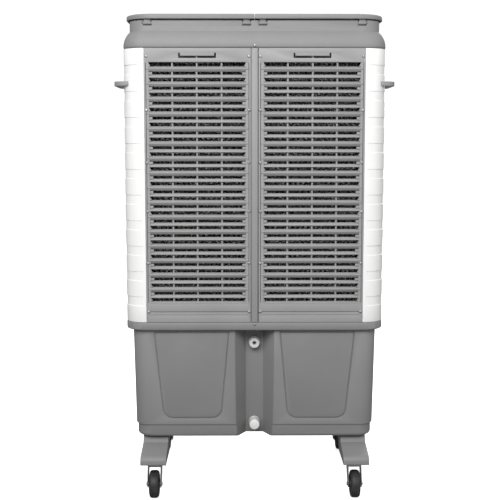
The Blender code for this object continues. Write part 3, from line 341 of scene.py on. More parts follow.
def copied(thing, name, shift=(0, 0, 0), mirrored=False):
    """A copy with its own mesh, moved by shift, or mirrored to the other side of the cooler."""
    made = thing.copy()
    made.data = thing.data.copy()
    bpy.context.scene.collection.objects.link(made)
    made.location = shift
    if mirrored:
        made.scale = (-1, 1, 1)
    only(made)
    settle(name)
    if mirrored:
        point_outwards(made)
    return made


def welded(node, name):
    """A fresh piece from a frame solid, its triangles paired into four-sided faces."""
    made = bpy.data.objects.new(name, frame["nodes"][node].data.copy())
    bpy.context.scene.collection.objects.link(made)
    only(made)
    bpy.ops.mesh.customdata_custom_splitnormals_clear()
    edit(made)
    bpy.ops.mesh.remove_doubles(threshold=MERGE_FRAME)
    bpy.ops.mesh.tris_convert_to_quads(face_threshold=FLAT, shape_threshold=ANY_SHAPE)
    leave()
    return made


print("copies: joined, mirrored or welded from the frame")

# %% [markdown]
# ## Shader arithmetic
# A finish here is a handful of numbers that vary over a surface: a fine grain, a slow
# mottling, a painted shade that darkens it towards the floor. Node by node that is slow to
# write, so `Wire` wraps a shader socket and adds the Math nodes for + - * by itself, and
# `node` adds any other kind.

# %% A wire that does sums
class Wire:
    """One shader value. Sums on it add Math nodes; node() adds any other node."""

    def __init__(self, tree, socket=None):
        self.tree = tree
        self.socket = socket

    def node(self, kind, settings, sockets, out=0):
        made = self.tree.nodes.new("ShaderNode" + kind)
        for key, value in settings.items():
            if key == "stops":
                for index, (place, shade) in enumerate(value):
                    stops = made.color_ramp.elements
                    stop = stops[index] if index < len(stops) else stops.new(place)
                    stop.position = place
                    stop.color = (shade, shade, shade, 1.0)
            else:
                setattr(made, key, value)
        for key, value in sockets.items():
            if isinstance(value, Wire):
                self.tree.links.new(value.socket, made.inputs[key])
            else:
                made.inputs[key].default_value = value
        return Wire(self.tree, made.outputs[out])

    def sum_of(self, operation, first, second):
        return self.node("Math", {"operation": operation}, {0: first, 1: second})

    def __add__(self, other):
        return self.sum_of("ADD", self, other)

    def __sub__(self, other):
        return self.sum_of("SUBTRACT", self, other)

    def __rsub__(self, other):
        return self.sum_of("SUBTRACT", other, self)

    def __mul__(self, other):
        return self.sum_of("MULTIPLY", self, other)

    __radd__ = __add__
    __rmul__ = __mul__

    def ramp(self, *stops):
        return self.node("ValToRGB", {"stops": stops}, {0: self})

    def blend(self, first, second):
        """A colour between two others, by this value from 0 to 1."""
        return self.node("Mix", {"data_type": "RGBA"}, {0: self, 6: first, 7: second}, out=2)

    def noise(self, scale, detail, roughness=0.5, distortion=0.0):
        """Cloudy noise at this place, from 0 to 1."""
        return self.node("TexNoise", {}, {"Vector": self, "Scale": scale, "Detail": detail,
                                          "Roughness": roughness, "Distortion": distortion})

    def bump(self, strength, distance):
        """A normal from this height."""
        return self.node("Bump", {}, {"Strength": strength, "Distance": distance,
                                      "Height": self})


def shade(level, tint=(1.0, 1.0, 1.0)):
    """A linear colour from a display grey between 0 and 255, with a slight tint."""
    value = level / 255
    linear = value / 12.92 if value <= 0.04045 else ((value + 0.055) / 1.055) ** 2.4
    return tuple(linear * share for share in tint) + (1.0,)


print("a middle grey in linear light:", [round(part, 3) for part in shade(128)[:3]])

# %% [markdown]
# ## Moulded plastic
# The tank, deck, grilles, top, lids and legs are moulded polypropylene, in close greys.
# The mould is lightly spark-eroded, which leaves an even grain well under a millimetre;
# it scatters the light, so the plastic looks soft and only slightly shiny. A flat grey
# would look like paint, so the finish has the grain in its bump, a slow change in
# roughness where hands and cloths have polished it, and a faint cloudiness in its colour.
# The white side panels are the same plastic from a smoother mould, with a thin gloss.

# %% The plastic finish
def new_finish(name):
    """A new material, its shader, and a wire that carries the place on the piece."""
    finish = bpy.data.materials.new(name)
    finish.use_nodes = True
    tree = finish.node_tree
    place = Wire(tree).node("TexCoord", {}, {}, out="Object")
    return finish, tree.nodes["Principled BSDF"], place


def connect(shader, **wires):
    """Links wires to a shader's sockets, whose names are given with _ for a space."""
    for key, wire in wires.items():
        socket = shader.inputs[key.replace("_", " ")]
        wire.tree.links.new(wire.socket, socket)


def plastic(name, level, tint=(1.0, 1.0, 1.0), roughness=0.46, spread=0.10, grain=1500.0,
            depth=0.00006, specular=0.4, cloud=0.05, painted_low_shade=0.0):
    """Moulded plastic: grain in the bump, cloudy colour, uneven polish, painted shade near the
    floor.
    """
    finish, shader, place = new_finish(name)
    fine = place.noise(grain, 3.0)
    slow = place.noise(7.0, 5.0, roughness=0.62)
    scuff = place.noise(46.0, 6.0, roughness=0.7, distortion=0.6)
    rubbed = scuff.ramp((0.50, 0.0), (0.72, 1.0))
    clouded = slow.ramp((0.30, 0.0), (0.72, 1.0))
    base = clouded.blend(shade(level * (1 - cloud / 2), tint),
                         shade(level * (1 + cloud / 2), tint))
    speck = fine.ramp((0.35, 0.0), (0.65, 1.0))
    base = (speck * 0.10).blend(base, shade(level * 0.80, tint))
    # Painted shade: the colour darkens from 0.42 m down to the floor, standing in for the
    # dimmer light there.
    if painted_low_shade:
        height = place.node("SeparateXYZ", {}, {0: place}, out="Z")
        low = height.node("MapRange", {}, {"Value": height, "From Min": 0.42, "From Max": 0.08,
                                           "To Min": 0.0, "To Max": painted_low_shade})
        base = (low * clouded).blend(base, shade(level * 0.84, (1.0, 0.99, 0.97)))
    connect(shader, Base_Color=base,
            Roughness=roughness + spread * clouded - (spread * 0.8) * rubbed,
            Normal=fine.bump(0.55, depth))
    shader.inputs["Specular IOR Level"].default_value = specular
    return finish


# Both greys get the painted shade near the floor.
grey_plastic = plastic("grey_plastic", 141, painted_low_shade=0.5)
tank_plastic = plastic("tank_plastic", 130, roughness=0.50, painted_low_shade=0.4)
grille_plastic = plastic("grille_plastic", 147, roughness=0.44)
white_plastic = plastic("white_plastic", 237, (1.0, 1.0, 0.992), roughness=0.34, spread=0.08,
                        grain=1900.0, depth=0.00002, specular=0.5, cloud=0.015)
light_plastic = plastic("light_plastic", 218, (1.0, 0.998, 0.985), roughness=0.38, cloud=0.03)
black_plastic = plastic("black_plastic", 38, roughness=0.42, cloud=0.08, depth=0.00005)
vane_plastic = plastic("vane_plastic", 150, roughness=0.40)
print("plastics:", [finish.name for finish in bpy.data.materials if "plastic" in finish.name])

# %% [markdown]
# ## Zinc, enamel, rubber and pad paper
# The caster forks are pressed steel with a bright zinc plating: it is cloudy at the scale
# of a few millimetres, with faint spangles. The motor is painted. The tyres are dull
# rubber, scuffed lighter where they touch the floor. The cooling pads are dark coated
# paper with light flecks: partly mineral scale, partly a painted highlight that stands in
# for the lit front edges of the sheets, which sit in the blades' shade.
# Each could share one plain shader with another colour, but what tells them apart is how
# they scatter light, so metal has an uneven roughness and the others have their own bump.

# %% The other finishes
def zinc_plate(name):
    finish, shader, place = new_finish(name)
    spangle = place.node("TexVoronoi", {}, {"Vector": place, "Scale": 380.0}, out="Color")
    patch = spangle.node("SeparateColor", {}, {0: spangle})
    cloud = place.noise(60.0, 6.0)
    scratch = place.noise(900.0, 2.0)
    clouded = cloud.ramp((0.35, 0.0), (0.70, 1.0))
    base = clouded.blend(shade(158, (0.99, 1.0, 1.01)), shade(190, (1.0, 1.0, 0.99)))
    connect(shader, Base_Color=(patch * 0.16).blend(base, shade(130)),
            Roughness=0.26 + 0.16 * clouded + 0.08 * patch,
            Normal=(scratch + patch * 0.3).bump(0.3, 0.00004))
    shader.inputs["Metallic"].default_value = 0.9
    return finish


def tyre_rubber(name):
    finish, shader, place = new_finish(name)
    grit = place.noise(700.0, 5.0)
    smear = place.noise(70.0, 5.0)
    dusty = smear.ramp((0.46, 0.0), (0.80, 1.0))
    connect(shader, Base_Color=(dusty * 0.5).blend(shade(36), shade(74, (1.0, 0.98, 0.95))),
            Roughness=0.55 + 0.25 * dusty,
            Normal=grit.bump(0.5, 0.0001))
    return finish


def motor_enamel(name):
    finish, shader, place = new_finish(name)
    peel = place.noise(420.0, 2.0)
    grime = place.noise(30.0, 6.0)
    soiled = grime.ramp((0.48, 0.0), (0.75, 1.0))
    connect(shader, Base_Color=(soiled * 0.4).blend(shade(70, (0.96, 1.0, 1.03)), shade(44)),
            Roughness=0.30 + 0.22 * soiled,
            Normal=peel.bump(0.35, 0.00008))
    shader.inputs["Coat Weight"].default_value = 0.3
    return finish


def pad_paper(name):
    finish, shader, place = new_finish(name)
    fibre = place.noise(620.0, 5.0)
    # Light flecks: partly mineral scale, partly a painted highlight for the sheets' lit front
    # edges.
    scale_and_painted_highlight = place.noise(150.0, 4.0, roughness=0.7).ramp((0.48, 0.0), (0.60, 1.0))
    connect(shader, Base_Color=(scale_and_painted_highlight * 0.9).blend(shade(60, (1.0, 0.99, 0.97)),
                                                   shade(236, (1.0, 1.0, 0.99))),
            Roughness=0.80 + 0.15 * fibre,
            Normal=fibre.bump(0.7, 0.0002))
    return finish


zinc_steel = zinc_plate("zinc_steel")
caster_rubber = tyre_rubber("caster_rubber")
motor_paint = motor_enamel("motor_paint")
cooling_pad = pad_paper("cooling_pad")
print("finishes:", len(bpy.data.materials))

# %% [markdown]
# ## Putting a piece in its place
# A finished piece needs three things said about it: its finish, the body it moves with, and
# the frame solids it stands for. One helper says them all, so that none is forgotten; a
# second one does the same for a piece of the right side and for its mirrored twin on the left.

# %% Dress a piece
dressed = []


def dress(piece, finish, rider, *nodes):
    piece.data.materials.clear()
    piece.data.materials.append(finish)
    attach(piece, rider)
    if nodes:
        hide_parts(*nodes)
    dressed.append(piece.name)


def dress_both(piece, finish, node, rider="root", angle=38):
    """Dresses a piece of the right side, and a mirrored copy of it on the left side."""
    twin = copied(piece, piece.name.replace("right", "left"), mirrored=True)
    smooth(twin, angle)
    for made, side in ((piece, "right"), (twin, "left")):
        dress(made, finish, rider.replace("right", side), node.replace("right", side))


# %% [markdown]
# ## The water tank
# The foot of the cooler is a blow-moulded tank. Its walls lean out a little towards the
# top, a recess runs up the middle of its rear for the water fittings, and a groove draws a
# shield on each half. It is a stack of rounded outlines; the inside is a second, smaller
# stack that is cut out. A sculpted tank could be softer, but a stack keeps its measures.

# %% Tank body and recess
tank_low, tank_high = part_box("water_tank")
TANK_TOP = (0.333, 0.206)
TANK_LOW = (0.3275, 0.2015)
TANK_BASE = (0.3235, 0.198)
TANK_CORNER = 0.045
TANK_WALL = 0.004
STEP_Z = tank_low.z + 0.0344
RECESS_BACK = -0.150
RECESS_MOUTH = -0.240
RECESS_HALF = (0.024, 0.0515)

tank = stack("water_tank_shell", TANK_CORNER - 0.009, [
    (tank_low.z, TANK_BASE[0] - 0.009, TANK_BASE[1] - 0.009),
    (tank_low.z + 0.0012, TANK_BASE[0] - 0.0055, TANK_BASE[1] - 0.0055),
    (tank_low.z + 0.0040, TANK_BASE[0] - 0.0022, TANK_BASE[1] - 0.0022),
    (tank_low.z + 0.0090, *TANK_BASE),
    (STEP_Z - 0.002, *TANK_BASE),
    (STEP_Z + 0.002, *TANK_LOW),
    (tank_high.z, *TANK_TOP)], segments=14)
inside = stack("tank_inside", TANK_CORNER - TANK_WALL, [
    (tank_low.z + TANK_WALL, TANK_BASE[0] - 0.012, TANK_BASE[1] - 0.012),
    (tank_low.z + 0.012, TANK_BASE[0] - TANK_WALL, TANK_BASE[1] - TANK_WALL),
    (STEP_Z, TANK_BASE[0] - TANK_WALL, TANK_BASE[1] - TANK_WALL),
    (tank_high.z + PAST, TANK_TOP[0] - TANK_WALL, TANK_TOP[1] - TANK_WALL)])


def recess(name, wall):
    """The upright recess, grown by the wall's thickness for the inside of the tank."""
    slope = (RECESS_HALF[1] - RECESS_HALF[0]) / (-TANK_LOW[1] - RECESS_BACK)
    back = RECESS_BACK + wall
    inner = RECESS_HALF[0] + wall
    outer = inner + slope * (RECESS_MOUTH - back)
    outline = [(-outer, RECESS_MOUTH), (outer, RECESS_MOUTH), (inner, back), (-inner, back)]
    return bar(name, outline, Z, tank_low.z - 2 * PAST, tank_high.z + 2 * PAST)


cut(inside, recess("recess_wall", TANK_WALL))
print("tank body:", len(tank.data.polygons), "faces before its shields")

# %% [markdown]
# ## The tank's shields
# A shield is a panel that a groove draws on the wall; it stiffens the tank. Its outline
# could be drawn point by point, but a plane whose lower edge is narrowed and whose corners
# are bevelled takes three steps. A second helper leans it with the tank's wall.

# %% Shield outline
SHIELD_Z = (0.2100, 0.4535)
SHIELD_TOP_X = (0.0680, 0.2740)
SHIELD_LOW_X = (0.0900, 0.2495)
GROOVE = 0.0040
GROOVE_DEPTH = 0.0034
SHIELD_LOW_ROUND = 0.026
SHIELD_TOP_ROUND = 0.004
LEAN = math.atan((TANK_TOP[1] - TANK_LOW[1]) / (tank_high.z - STEP_Z))


def shield_outline(name, side):
    """An upright flat shield with rounded corners, left in edit mode."""
    middle = side * (SHIELD_TOP_X[0] + SHIELD_TOP_X[1]) / 2
    low_middle = side * (SHIELD_LOW_X[0] + SHIELD_LOW_X[1]) / 2
    size = (SHIELD_TOP_X[1] - SHIELD_TOP_X[0], SHIELD_Z[1] - SHIELD_Z[0])
    bpy.ops.object.select_all(action="DESELECT")
    bpy.ops.mesh.primitive_plane_add(size=1, rotation=(math.pi / 2, 0, 0),
                                     location=(middle, 0, sum(SHIELD_Z) / 2))
    plane = settle(name, (*size, 1))
    edit(plane, "VERT")
    pick(plane, "VERT", lambda place, item: place.z < sum(SHIELD_Z) / 2)
    narrow = (SHIELD_LOW_X[1] - SHIELD_LOW_X[0]) / size[0]
    bpy.ops.transform.resize(value=(narrow, 1, 1), center_override=(middle, 0, SHIELD_Z[0]))
    bpy.ops.transform.translate(value=(low_middle - middle, 0, 0))
    bpy.ops.mesh.bevel(offset=SHIELD_LOW_ROUND, segments=6, affect="VERTICES")
    pick(plane, "VERT", lambda place, item: place.z > SHIELD_Z[1] - 0.001)
    bpy.ops.mesh.bevel(offset=SHIELD_TOP_ROUND, segments=3, affect="VERTICES")
    bpy.ops.mesh.select_mode(type="FACE")
    bpy.ops.mesh.select_all(action="SELECT")
    return plane


def lean_to_wall(piece):
    """Turns a piece that stands upright on y = 0 into the plane of the tank's rear wall."""
    piece.location = (0, 0, -STEP_Z)
    only(piece)
    settle(piece.name)
    piece.rotation_euler = (LEAN, 0, 0)
    piece.location = (0, -TANK_LOW[1], STEP_Z)
    only(piece)
    return point_outwards(settle(piece.name))


print("shield:", [round(b - a, 4) for a, b in (SHIELD_TOP_X, SHIELD_Z)], "m")

# %% [markdown]
# An inset leaves a narrow ring round the shield, and the ring alone is pulled into a cutter.
# The grooves are cut while the body is still solid, because a ring that meets only one wall
# cuts cleanly; the recess and the hollow follow.

# %% Groove and hollow the tank
for side in (-1, 1):
    ring = shield_outline("shield_groove", side)
    bpy.ops.mesh.inset(thickness=GROOVE, depth=0)
    bpy.ops.mesh.delete(type="ONLY_FACE")
    bpy.ops.mesh.select_all(action="SELECT")
    bpy.ops.transform.translate(value=(0, GROOVE_DEPTH, 0))
    bpy.ops.mesh.extrude_region_move(TRANSFORM_OT_translate={"value": (0, -2 * PAST, 0)})
    leave()
    cut(tank, lean_to_wall(ring))
cut(tank, recess("recess_hollow", 0.0))
cut(tank, inside)
soften(tank, 0.0010, 2, 24)
dress(tank, tank_plastic, "root", "water_tank")
print("tank shell:", len(tank.data.polygons), "faces")

# %% [markdown]
# ## The deck tray
# The deck closes the tank and carries the pads. From outside it is a band with a curled
# lower edge; the water that runs out of the pads drops through two long slots into the
# tank. It is one stack, hollowed from below, with the slots and the hose hole cut through.
# The band alone would look the same from outside, but not with the lids open.

# %% Deck tray
BODY_HALF = (0.350, 0.220)
BODY_CORNER = 0.055
deck_low, deck_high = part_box("deck_tray")
pad_low, pad_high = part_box("right_cooling_pad")
hose_low, hose_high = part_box("riser_hose")
hose_middle = (hose_low + hose_high) / 2
HOSE_HOLE = 0.011
DRIP_IN = 0.012
DRIP_Y = (0.010, 0.060)


def body(inset):
    """Half the body's width and depth, drawn in by the inset."""
    return (BODY_HALF[0] - inset, BODY_HALF[1] - inset)


deck = stack("deck_tray_band", BODY_CORNER - 0.004, [
    (deck_low.z, *body(0.0036)), (deck_low.z + 0.0014, *body(0.0012)),
    (deck_low.z + 0.0036, *body(0.0)), (deck_high.z - 0.0024, *body(0.0)),
    (deck_high.z - 0.0008, *body(0.0007)), (deck_high.z, *body(0.0022))], segments=14)
cut(deck, stack("deck_under", BODY_CORNER - 0.010, [(deck_low.z - PAST, *body(0.010)),
                                                   (deck_high.z - 0.0105, *body(0.010))]))
for side in (-1, 1):
    ends = sorted((side * (pad_low.x + DRIP_IN), side * (pad_high.x - DRIP_IN)))
    cut(deck, box("drip_slot", (ends[0], pad_low.y + DRIP_Y[0], deck_low.z),
                  (ends[1], pad_low.y + DRIP_Y[1], deck_high.z + PAST)))
cut(deck, rod("hose_hole", (hose_middle.x, hose_middle.y, deck_low.z),
              (hose_middle.x, hose_middle.y, deck_high.z + PAST), HOSE_HOLE))
smooth(deck, 30)
dress(deck, tank_plastic, "root", "deck_tray")
print("deck tray:", len(deck.data.polygons), "faces")

# %% [markdown]
# ## The white side panels
# Each side panel wraps round two corners of the body and slides behind the grille frames.
# Ten shallow level bands, a millimetre deep, stiffen it; they die away before the flat
# edge. The bands could be cut afterwards, but levels raised with the outline stay clean
# round the corners: the outline is pulled in where a band is, and the band's ends are
# pushed back out. Bisecting keeps one side of the cooler, Solidify gives the wall its
# thickness inwards, and the other side is a mirrored copy.

# %% Side panels
panel_low, panel_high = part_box("right_side_panel")
PANEL_EDGE = 0.2915
BAND_TOP = 1.168
BAND_HIGH = 0.026
BAND_STEP = 0.0685
BAND_DEEP = 0.0011
BAND_SLOPE = 0.0009
BAND_END = 0.3035
BANDS = 10
PANEL_WALL = 0.005
PANEL_ANGLE = 24
levels = [(panel_low.z, *body(0.0))]
band_levels = []
for index in reversed(range(BANDS)):
    top = BAND_TOP - index * BAND_STEP
    low = top - BAND_HIGH
    levels += [(low, *body(0.0)), (low + BAND_SLOPE, *body(BAND_DEEP)),
               (top - BAND_SLOPE, *body(BAND_DEEP)), (top, *body(0.0))]
    band_levels += [low + BAND_SLOPE, top - BAND_SLOPE]
levels.append((panel_high.z, *body(0.0)))
panel = stack("right_side_shell", BODY_CORNER, levels, segments=16)
edit(panel)
pick(panel, "FACE", lambda place, item: abs(item.normal.z) > 0.9)
bpy.ops.mesh.delete(type="FACE")
for end in (-1, 1):
    pick(panel, "VERT", lambda place, item: place.x < BAND_END and place.y * end > 0
         and any(abs(place.z - level) < 0.0001 for level in band_levels))
    bpy.ops.transform.translate(value=(0, end * BAND_DEEP, 0))
bpy.ops.mesh.select_all(action="SELECT")
bpy.ops.mesh.bisect(plane_co=(PANEL_EDGE, 0, 0), plane_no=(1, 0, 0), clear_inner=True)
bpy.ops.mesh.select_all(action="SELECT")
bpy.ops.mesh.normals_make_consistent(inside=False)
leave()
apply(panel, "SOLIDIFY", thickness=PANEL_WALL, offset=-1.0)
apply(panel, "BEVEL", width=0.0009, segments=2, limit_method="ANGLE",
      angle_limit=math.radians(65))
smooth(panel, PANEL_ANGLE)
dress_both(panel, white_plastic, "right_side_panel", angle=PANEL_ANGLE)
print("side panel:", len(panel.data.polygons), "faces each")

# %% [markdown]
# ## The centre post
# A narrow post covers the joint between the two grilles. Its middle stands proud and its
# two edges step back, which draws the fine dark lines beside it. A box would do from far
# away, but not for those lines, so the section is drawn in plan and pulled up.

# %% Centre post
post_low, post_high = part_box("center_post")
POST_HALF = post_high.x
post = bar("center_post_strip", [
    (-POST_HALF, post_high.y), (-POST_HALF, post_low.y + 0.0045),
    (-POST_HALF + 0.0012, post_low.y + 0.0030), (-POST_HALF + 0.0022, post_low.y + 0.0030),
    (-POST_HALF + 0.0026, post_low.y), (POST_HALF - 0.0026, post_low.y),
    (POST_HALF - 0.0022, post_low.y + 0.0030), (POST_HALF - 0.0012, post_low.y + 0.0030),
    (POST_HALF, post_low.y + 0.0045), (POST_HALF, post_high.y)], Z, post_low.z, post_high.z)
soften(post, 0.0006, 2)
dress(post, grey_plastic, "root", "center_post")
print("centre post:", round(2 * POST_HALF, 4), "m wide")

# %% [markdown]
# ## The louvred grilles
# A grille is a shallow tray with a window full of level blades. Under each wide slot sits
# a deep main blade, whose upper side slopes outwards to shed rain and catches the light,
# and whose face leans back below it. A narrower slot and a slim blade follow, and the
# pattern repeats sixteen times. The slots could be sawn from one plate, but that would lose
# the slopes, so the tray is made first with an open window for the blades.

# %% Grille tray and window
grille_low, grille_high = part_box("right_pad_grille")
FRONT = grille_low.y
SLOT_X = (0.0238, 0.2790)
WINDOW_X = (0.0172, 0.2848)
SLOT_TOP = 1.1677
SLOT_STEP = 0.03904
WIDE = 0.0089
NARROW_DOWN = 0.0220
NARROW = 0.0075
SLOTS_COUNT = 17
LAST_SLOT = SLOT_TOP - (SLOTS_COUNT - 1) * SLOT_STEP
WINDOW_Z = (LAST_SLOT - WIDE / 2 - 0.0035, SLOT_TOP + WIDE / 2)
FINGER_X = (0.102, 0.201)
FINGER_Z = (1.1847, 1.198)
FINGER_SLIT = 0.0045
FOOT_STEPS = ((0.0266, 0.0030, 0.0026), (0.0346, 0.0012, 0.0014))

tray = box("grille_tray", grille_low, grille_high)
cut(tray, box("grille_back", (grille_low.x + 0.003, FRONT + 0.006, grille_low.z + 0.003),
              (grille_high.x - 0.003, FRONT + 0.05, grille_high.z - 0.003)))
window = box("grille_window", (WINDOW_X[0], FRONT - 0.004, WINDOW_Z[0]),
             (WINDOW_X[1], FRONT + 2 * PAST, WINDOW_Z[1]))
edit(window)
pick(window, "EDGE", lambda place, item: span(item, Y) > 0.01)
bpy.ops.mesh.bevel(offset=0.004, segments=4)
pick(window, "FACE", lambda place, item: item.normal.y < -0.9)
bpy.ops.transform.resize(value=(1.022, 1, 1.008),
                         center_override=(sum(WINDOW_X) / 2, 0, sum(WINDOW_Z) / 2))
leave()
cut(tray, window)
for foot, deep, drop in FOOT_STEPS:
    cut(tray, box("foot_step", (WINDOW_X[0] + 0.002, FRONT - PAST, WINDOW_Z[0] - foot),
                  (WINDOW_X[1] - 0.002, FRONT + deep, WINDOW_Z[0] - foot + drop)))
finger = box("finger_slot", (FINGER_X[0], FRONT - PAST, FINGER_Z[0]),
             (FINGER_X[1], FRONT + 0.012, FINGER_Z[1]))
cut(finger, box("finger_tongue",
                (FINGER_X[0] + FINGER_SLIT, FRONT - 2 * PAST, FINGER_Z[0] + 0.0058),
                (FINGER_X[1] - FINGER_SLIT, FRONT + 0.03, FINGER_Z[1] + PAST)))
cut(tray, finger)
soften(tray, 0.0011, 3)
print("grille tray:", len(tray.data.polygons), "faces")

# %% [markdown]
# ## The blades
# A blade is a level strip that lets air in and keeps spray back. It could be a turned box,
# but its chamfered top and the face that leans back show from the side, so its section is
# drawn and pulled to length. There are three kinds: main, slim, and a short last one.

# %% Blade sections
BLADE_X = (WINDOW_X[0] - 0.0005, WINDOW_X[1] + 0.0005)


def blade(name, height, reach, chamfer, tilt):
    """A level blade, top edge at z = 0; it stands out by reach and its face tilts back."""
    back = FRONT + 0.0075
    face = FRONT + 0.0035 - reach
    foot = face + tilt * (height - chamfer)
    outline = [(back, 0.0), (back - 0.0012, 0.0), (face + 0.0004, -chamfer),
               (face, -chamfer - 0.0010), (foot, -height + 0.0006),
               (foot + 0.0010, -height), (back, -height)]
    made = bar(name, outline, X, *BLADE_X)
    return soften(made, 0.0007, 2, 28)


WIDE_BELOW = NARROW_DOWN - NARROW / 2
main_blade = blade("main_blade", WIDE_BELOW - WIDE / 2, 0.0046, 0.0052, 0.52)
slim_high = SLOT_STEP - WIDE / 2 - NARROW_DOWN - NARROW / 2
slim_blade = blade("slim_blade", slim_high, 0.0030, 0.0060, 0.20)
last_blade = blade("last_blade", 0.006, 0.0040, 0.0036, 0.20)
print("blade:", round(BLADE_X[1] - BLADE_X[0], 4), "m long")

# %% [markdown]
# ## Filling the window
# Three upright ribs tie the blades together from behind, and small blocks close the ends of
# the narrow slots. An Array modifier could repeat the blades, but with two kinds and a
# short last one a loop is easier to follow.

# %% Blades, ribs and end blocks
RIB_X = (0.0873, 0.1529, 0.2177)
RIB_HALF = 0.0022
END_LAP = 0.009
parts = [tray]
for index in range(SLOTS_COUNT):
    slot_z = SLOT_TOP - index * SLOT_STEP
    wide_low, wide_high = slot_z - WIDE / 2, slot_z + WIDE / 2
    narrow_low = slot_z - NARROW_DOWN - NARROW / 2
    narrow_high = slot_z - NARROW_DOWN + NARROW / 2
    if index < SLOTS_COUNT - 1:
        parts.append(copied(main_blade, "blade", (0, 0, wide_low)))
        parts.append(copied(slim_blade, "blade", (0, 0, narrow_low)))
        for x, width in ((WINDOW_X[0], SLOT_X[0] - WINDOW_X[0] + END_LAP),
                         (SLOT_X[1] - END_LAP, WINDOW_X[1] - SLOT_X[1] + END_LAP)):
            block = box("slot_end", (x, FRONT + 0.0026, narrow_low - 0.001),
                        (x + width, FRONT + 0.0070, narrow_high - 0.0014))
            parts.append(soften(block, 0.0006, 2))
    for x, way in ((SLOT_X[0] - 0.0010, 1), (SLOT_X[1] + 0.0010, -1)):
        parts.append(bar("slot_gusset", [
            (x, wide_low - 0.0006), (x, wide_high), (x + way * 0.0012, wide_high),
            (x + way * 0.0058, wide_low - 0.0006)], Y, FRONT + 0.0022, FRONT + 0.0064))
parts.append(copied(last_blade, "blade", (0, 0, LAST_SLOT - WIDE / 2)))
for x_low, x_high in ((WINDOW_X[0] - 0.001, SLOT_X[0]), (SLOT_X[1], WINDOW_X[1] + 0.001)):
    parts.append(box("window_end", (x_low, FRONT + 0.0007, WINDOW_Z[0] - 0.002),
                     (x_high, FRONT + 0.0068, WINDOW_Z[1] + 0.002)))
for rib_x in RIB_X:
    rib = box("upright_rib", (rib_x - RIB_HALF, FRONT + 0.0050, grille_low.z + 0.002),
              (rib_x + RIB_HALF, FRONT + 0.0140, grille_high.z - 0.002))
    parts.append(soften(rib, 0.0005, 1))
for used in (main_blade, slim_blade, last_blade):
    bpy.data.objects.remove(used)
grille = together("right_grille_louvres", parts)
smooth(grille)
dress_both(grille, grille_plastic, "right_pad_grille")
print("grille:", len(grille.data.polygons), "faces each")

# %% [markdown]
# ## The cooling pads
# A wetted pad is a block of corrugated paper sheets, glued crest to crest, so that air and
# water pass through its flutes. Only the front few millimetres can be seen, through the
# slots, so the sheets are real there and a plain core stands behind them.
# One sheet is a tall grid whose rows are pushed sideways to follow a wave, and Solidify
# gives it paper thickness. A Wave modifier could bend it too, but this keeps few faces.

# %% One corrugated sheet
SHEET_STEP = 0.0068
WAVE_LONG = 0.0140
WAVE_HALF = 0.0032
SHEET_DEEP = 0.014
SHEET_THICK = 0.0014
SHEET_GAP = 0.0005
ROWS_PER_WAVE = 6
pad_height = pad_high.z - pad_low.z - 2 * SHEET_GAP
rows = round(pad_height / WAVE_LONG * ROWS_PER_WAVE)
bpy.ops.object.select_all(action="DESELECT")
bpy.ops.mesh.primitive_grid_add(x_subdivisions=1, y_subdivisions=rows, size=1,
                                rotation=(math.pi / 2, 0, math.pi / 2),
                                location=(0, pad_low.y + SHEET_DEEP / 2 + SHEET_GAP,
                                          (pad_low.z + pad_high.z) / 2))
wave = settle("pad_sheet", (SHEET_DEEP, pad_height, 1))
lowest = pad_low.z + SHEET_GAP
edit(wave, "VERT")
for phase in range(ROWS_PER_WAVE):
    swing = WAVE_HALF * math.sin(2 * math.pi * (phase + 0.5) / ROWS_PER_WAVE)
    pick(wave, "VERT", lambda place, item: round((place.z - lowest) / pad_height * rows)
         % ROWS_PER_WAVE == phase)
    bpy.ops.transform.translate(value=(swing, 0, 0))
leave()
apply(wave, "SOLIDIFY", thickness=SHEET_THICK, offset=0.0)
print("sheet:", rows, "rows,", round(pad_height, 4), "m tall")

# %% [markdown]
# Copies of the sheet stand beside each other, every second one turned round, so that the
# flutes cross. Real sheets run through the whole depth, which would cost a great many faces
# for nothing. The core reaches a centimetre further towards the post, to shut out light.

# %% Both pads
INNER_FLAP = 0.0100
count = int((pad_high.x - pad_low.x - 2 * WAVE_HALF - 2 * SHEET_GAP) / SHEET_STEP)
first_x = (pad_low.x + pad_high.x - (count - 1) * SHEET_STEP) / 2
sheets = [box("pad_core", (pad_low.x - INNER_FLAP, pad_low.y + SHEET_DEEP, pad_low.z),
              pad_high)]
for index in range(count):
    sheet = copied(wave, "sheet", (first_x + index * SHEET_STEP, 0, 0))
    if index % 2:
        edit(sheet)
        bpy.ops.transform.resize(value=(-1, 1, 1),
                                 center_override=(first_x + index * SHEET_STEP, 0, 0))
        bpy.ops.mesh.flip_normals()
        leave()
    sheets.append(sheet)
bpy.data.objects.remove(wave)
pad = together("right_pad_sheets", sheets)
other_pad = copied(pad, "left_pad_sheets", mirrored=True)
dress(pad, cooling_pad, "root", "right_cooling_pad")
dress(other_pad, cooling_pad, "root", "left_cooling_pad")
print("pad:", count, "sheets,", len(pad.data.polygons), "faces each")

# %% [markdown]
# ## The top housing
# Above the grilles the body rounds over a shoulder into a recessed neck, with a thin rim
# for the lids to close over. A bevel could round the shoulder, but it would run on into
# the neck, so the stack's levels follow the curve instead.

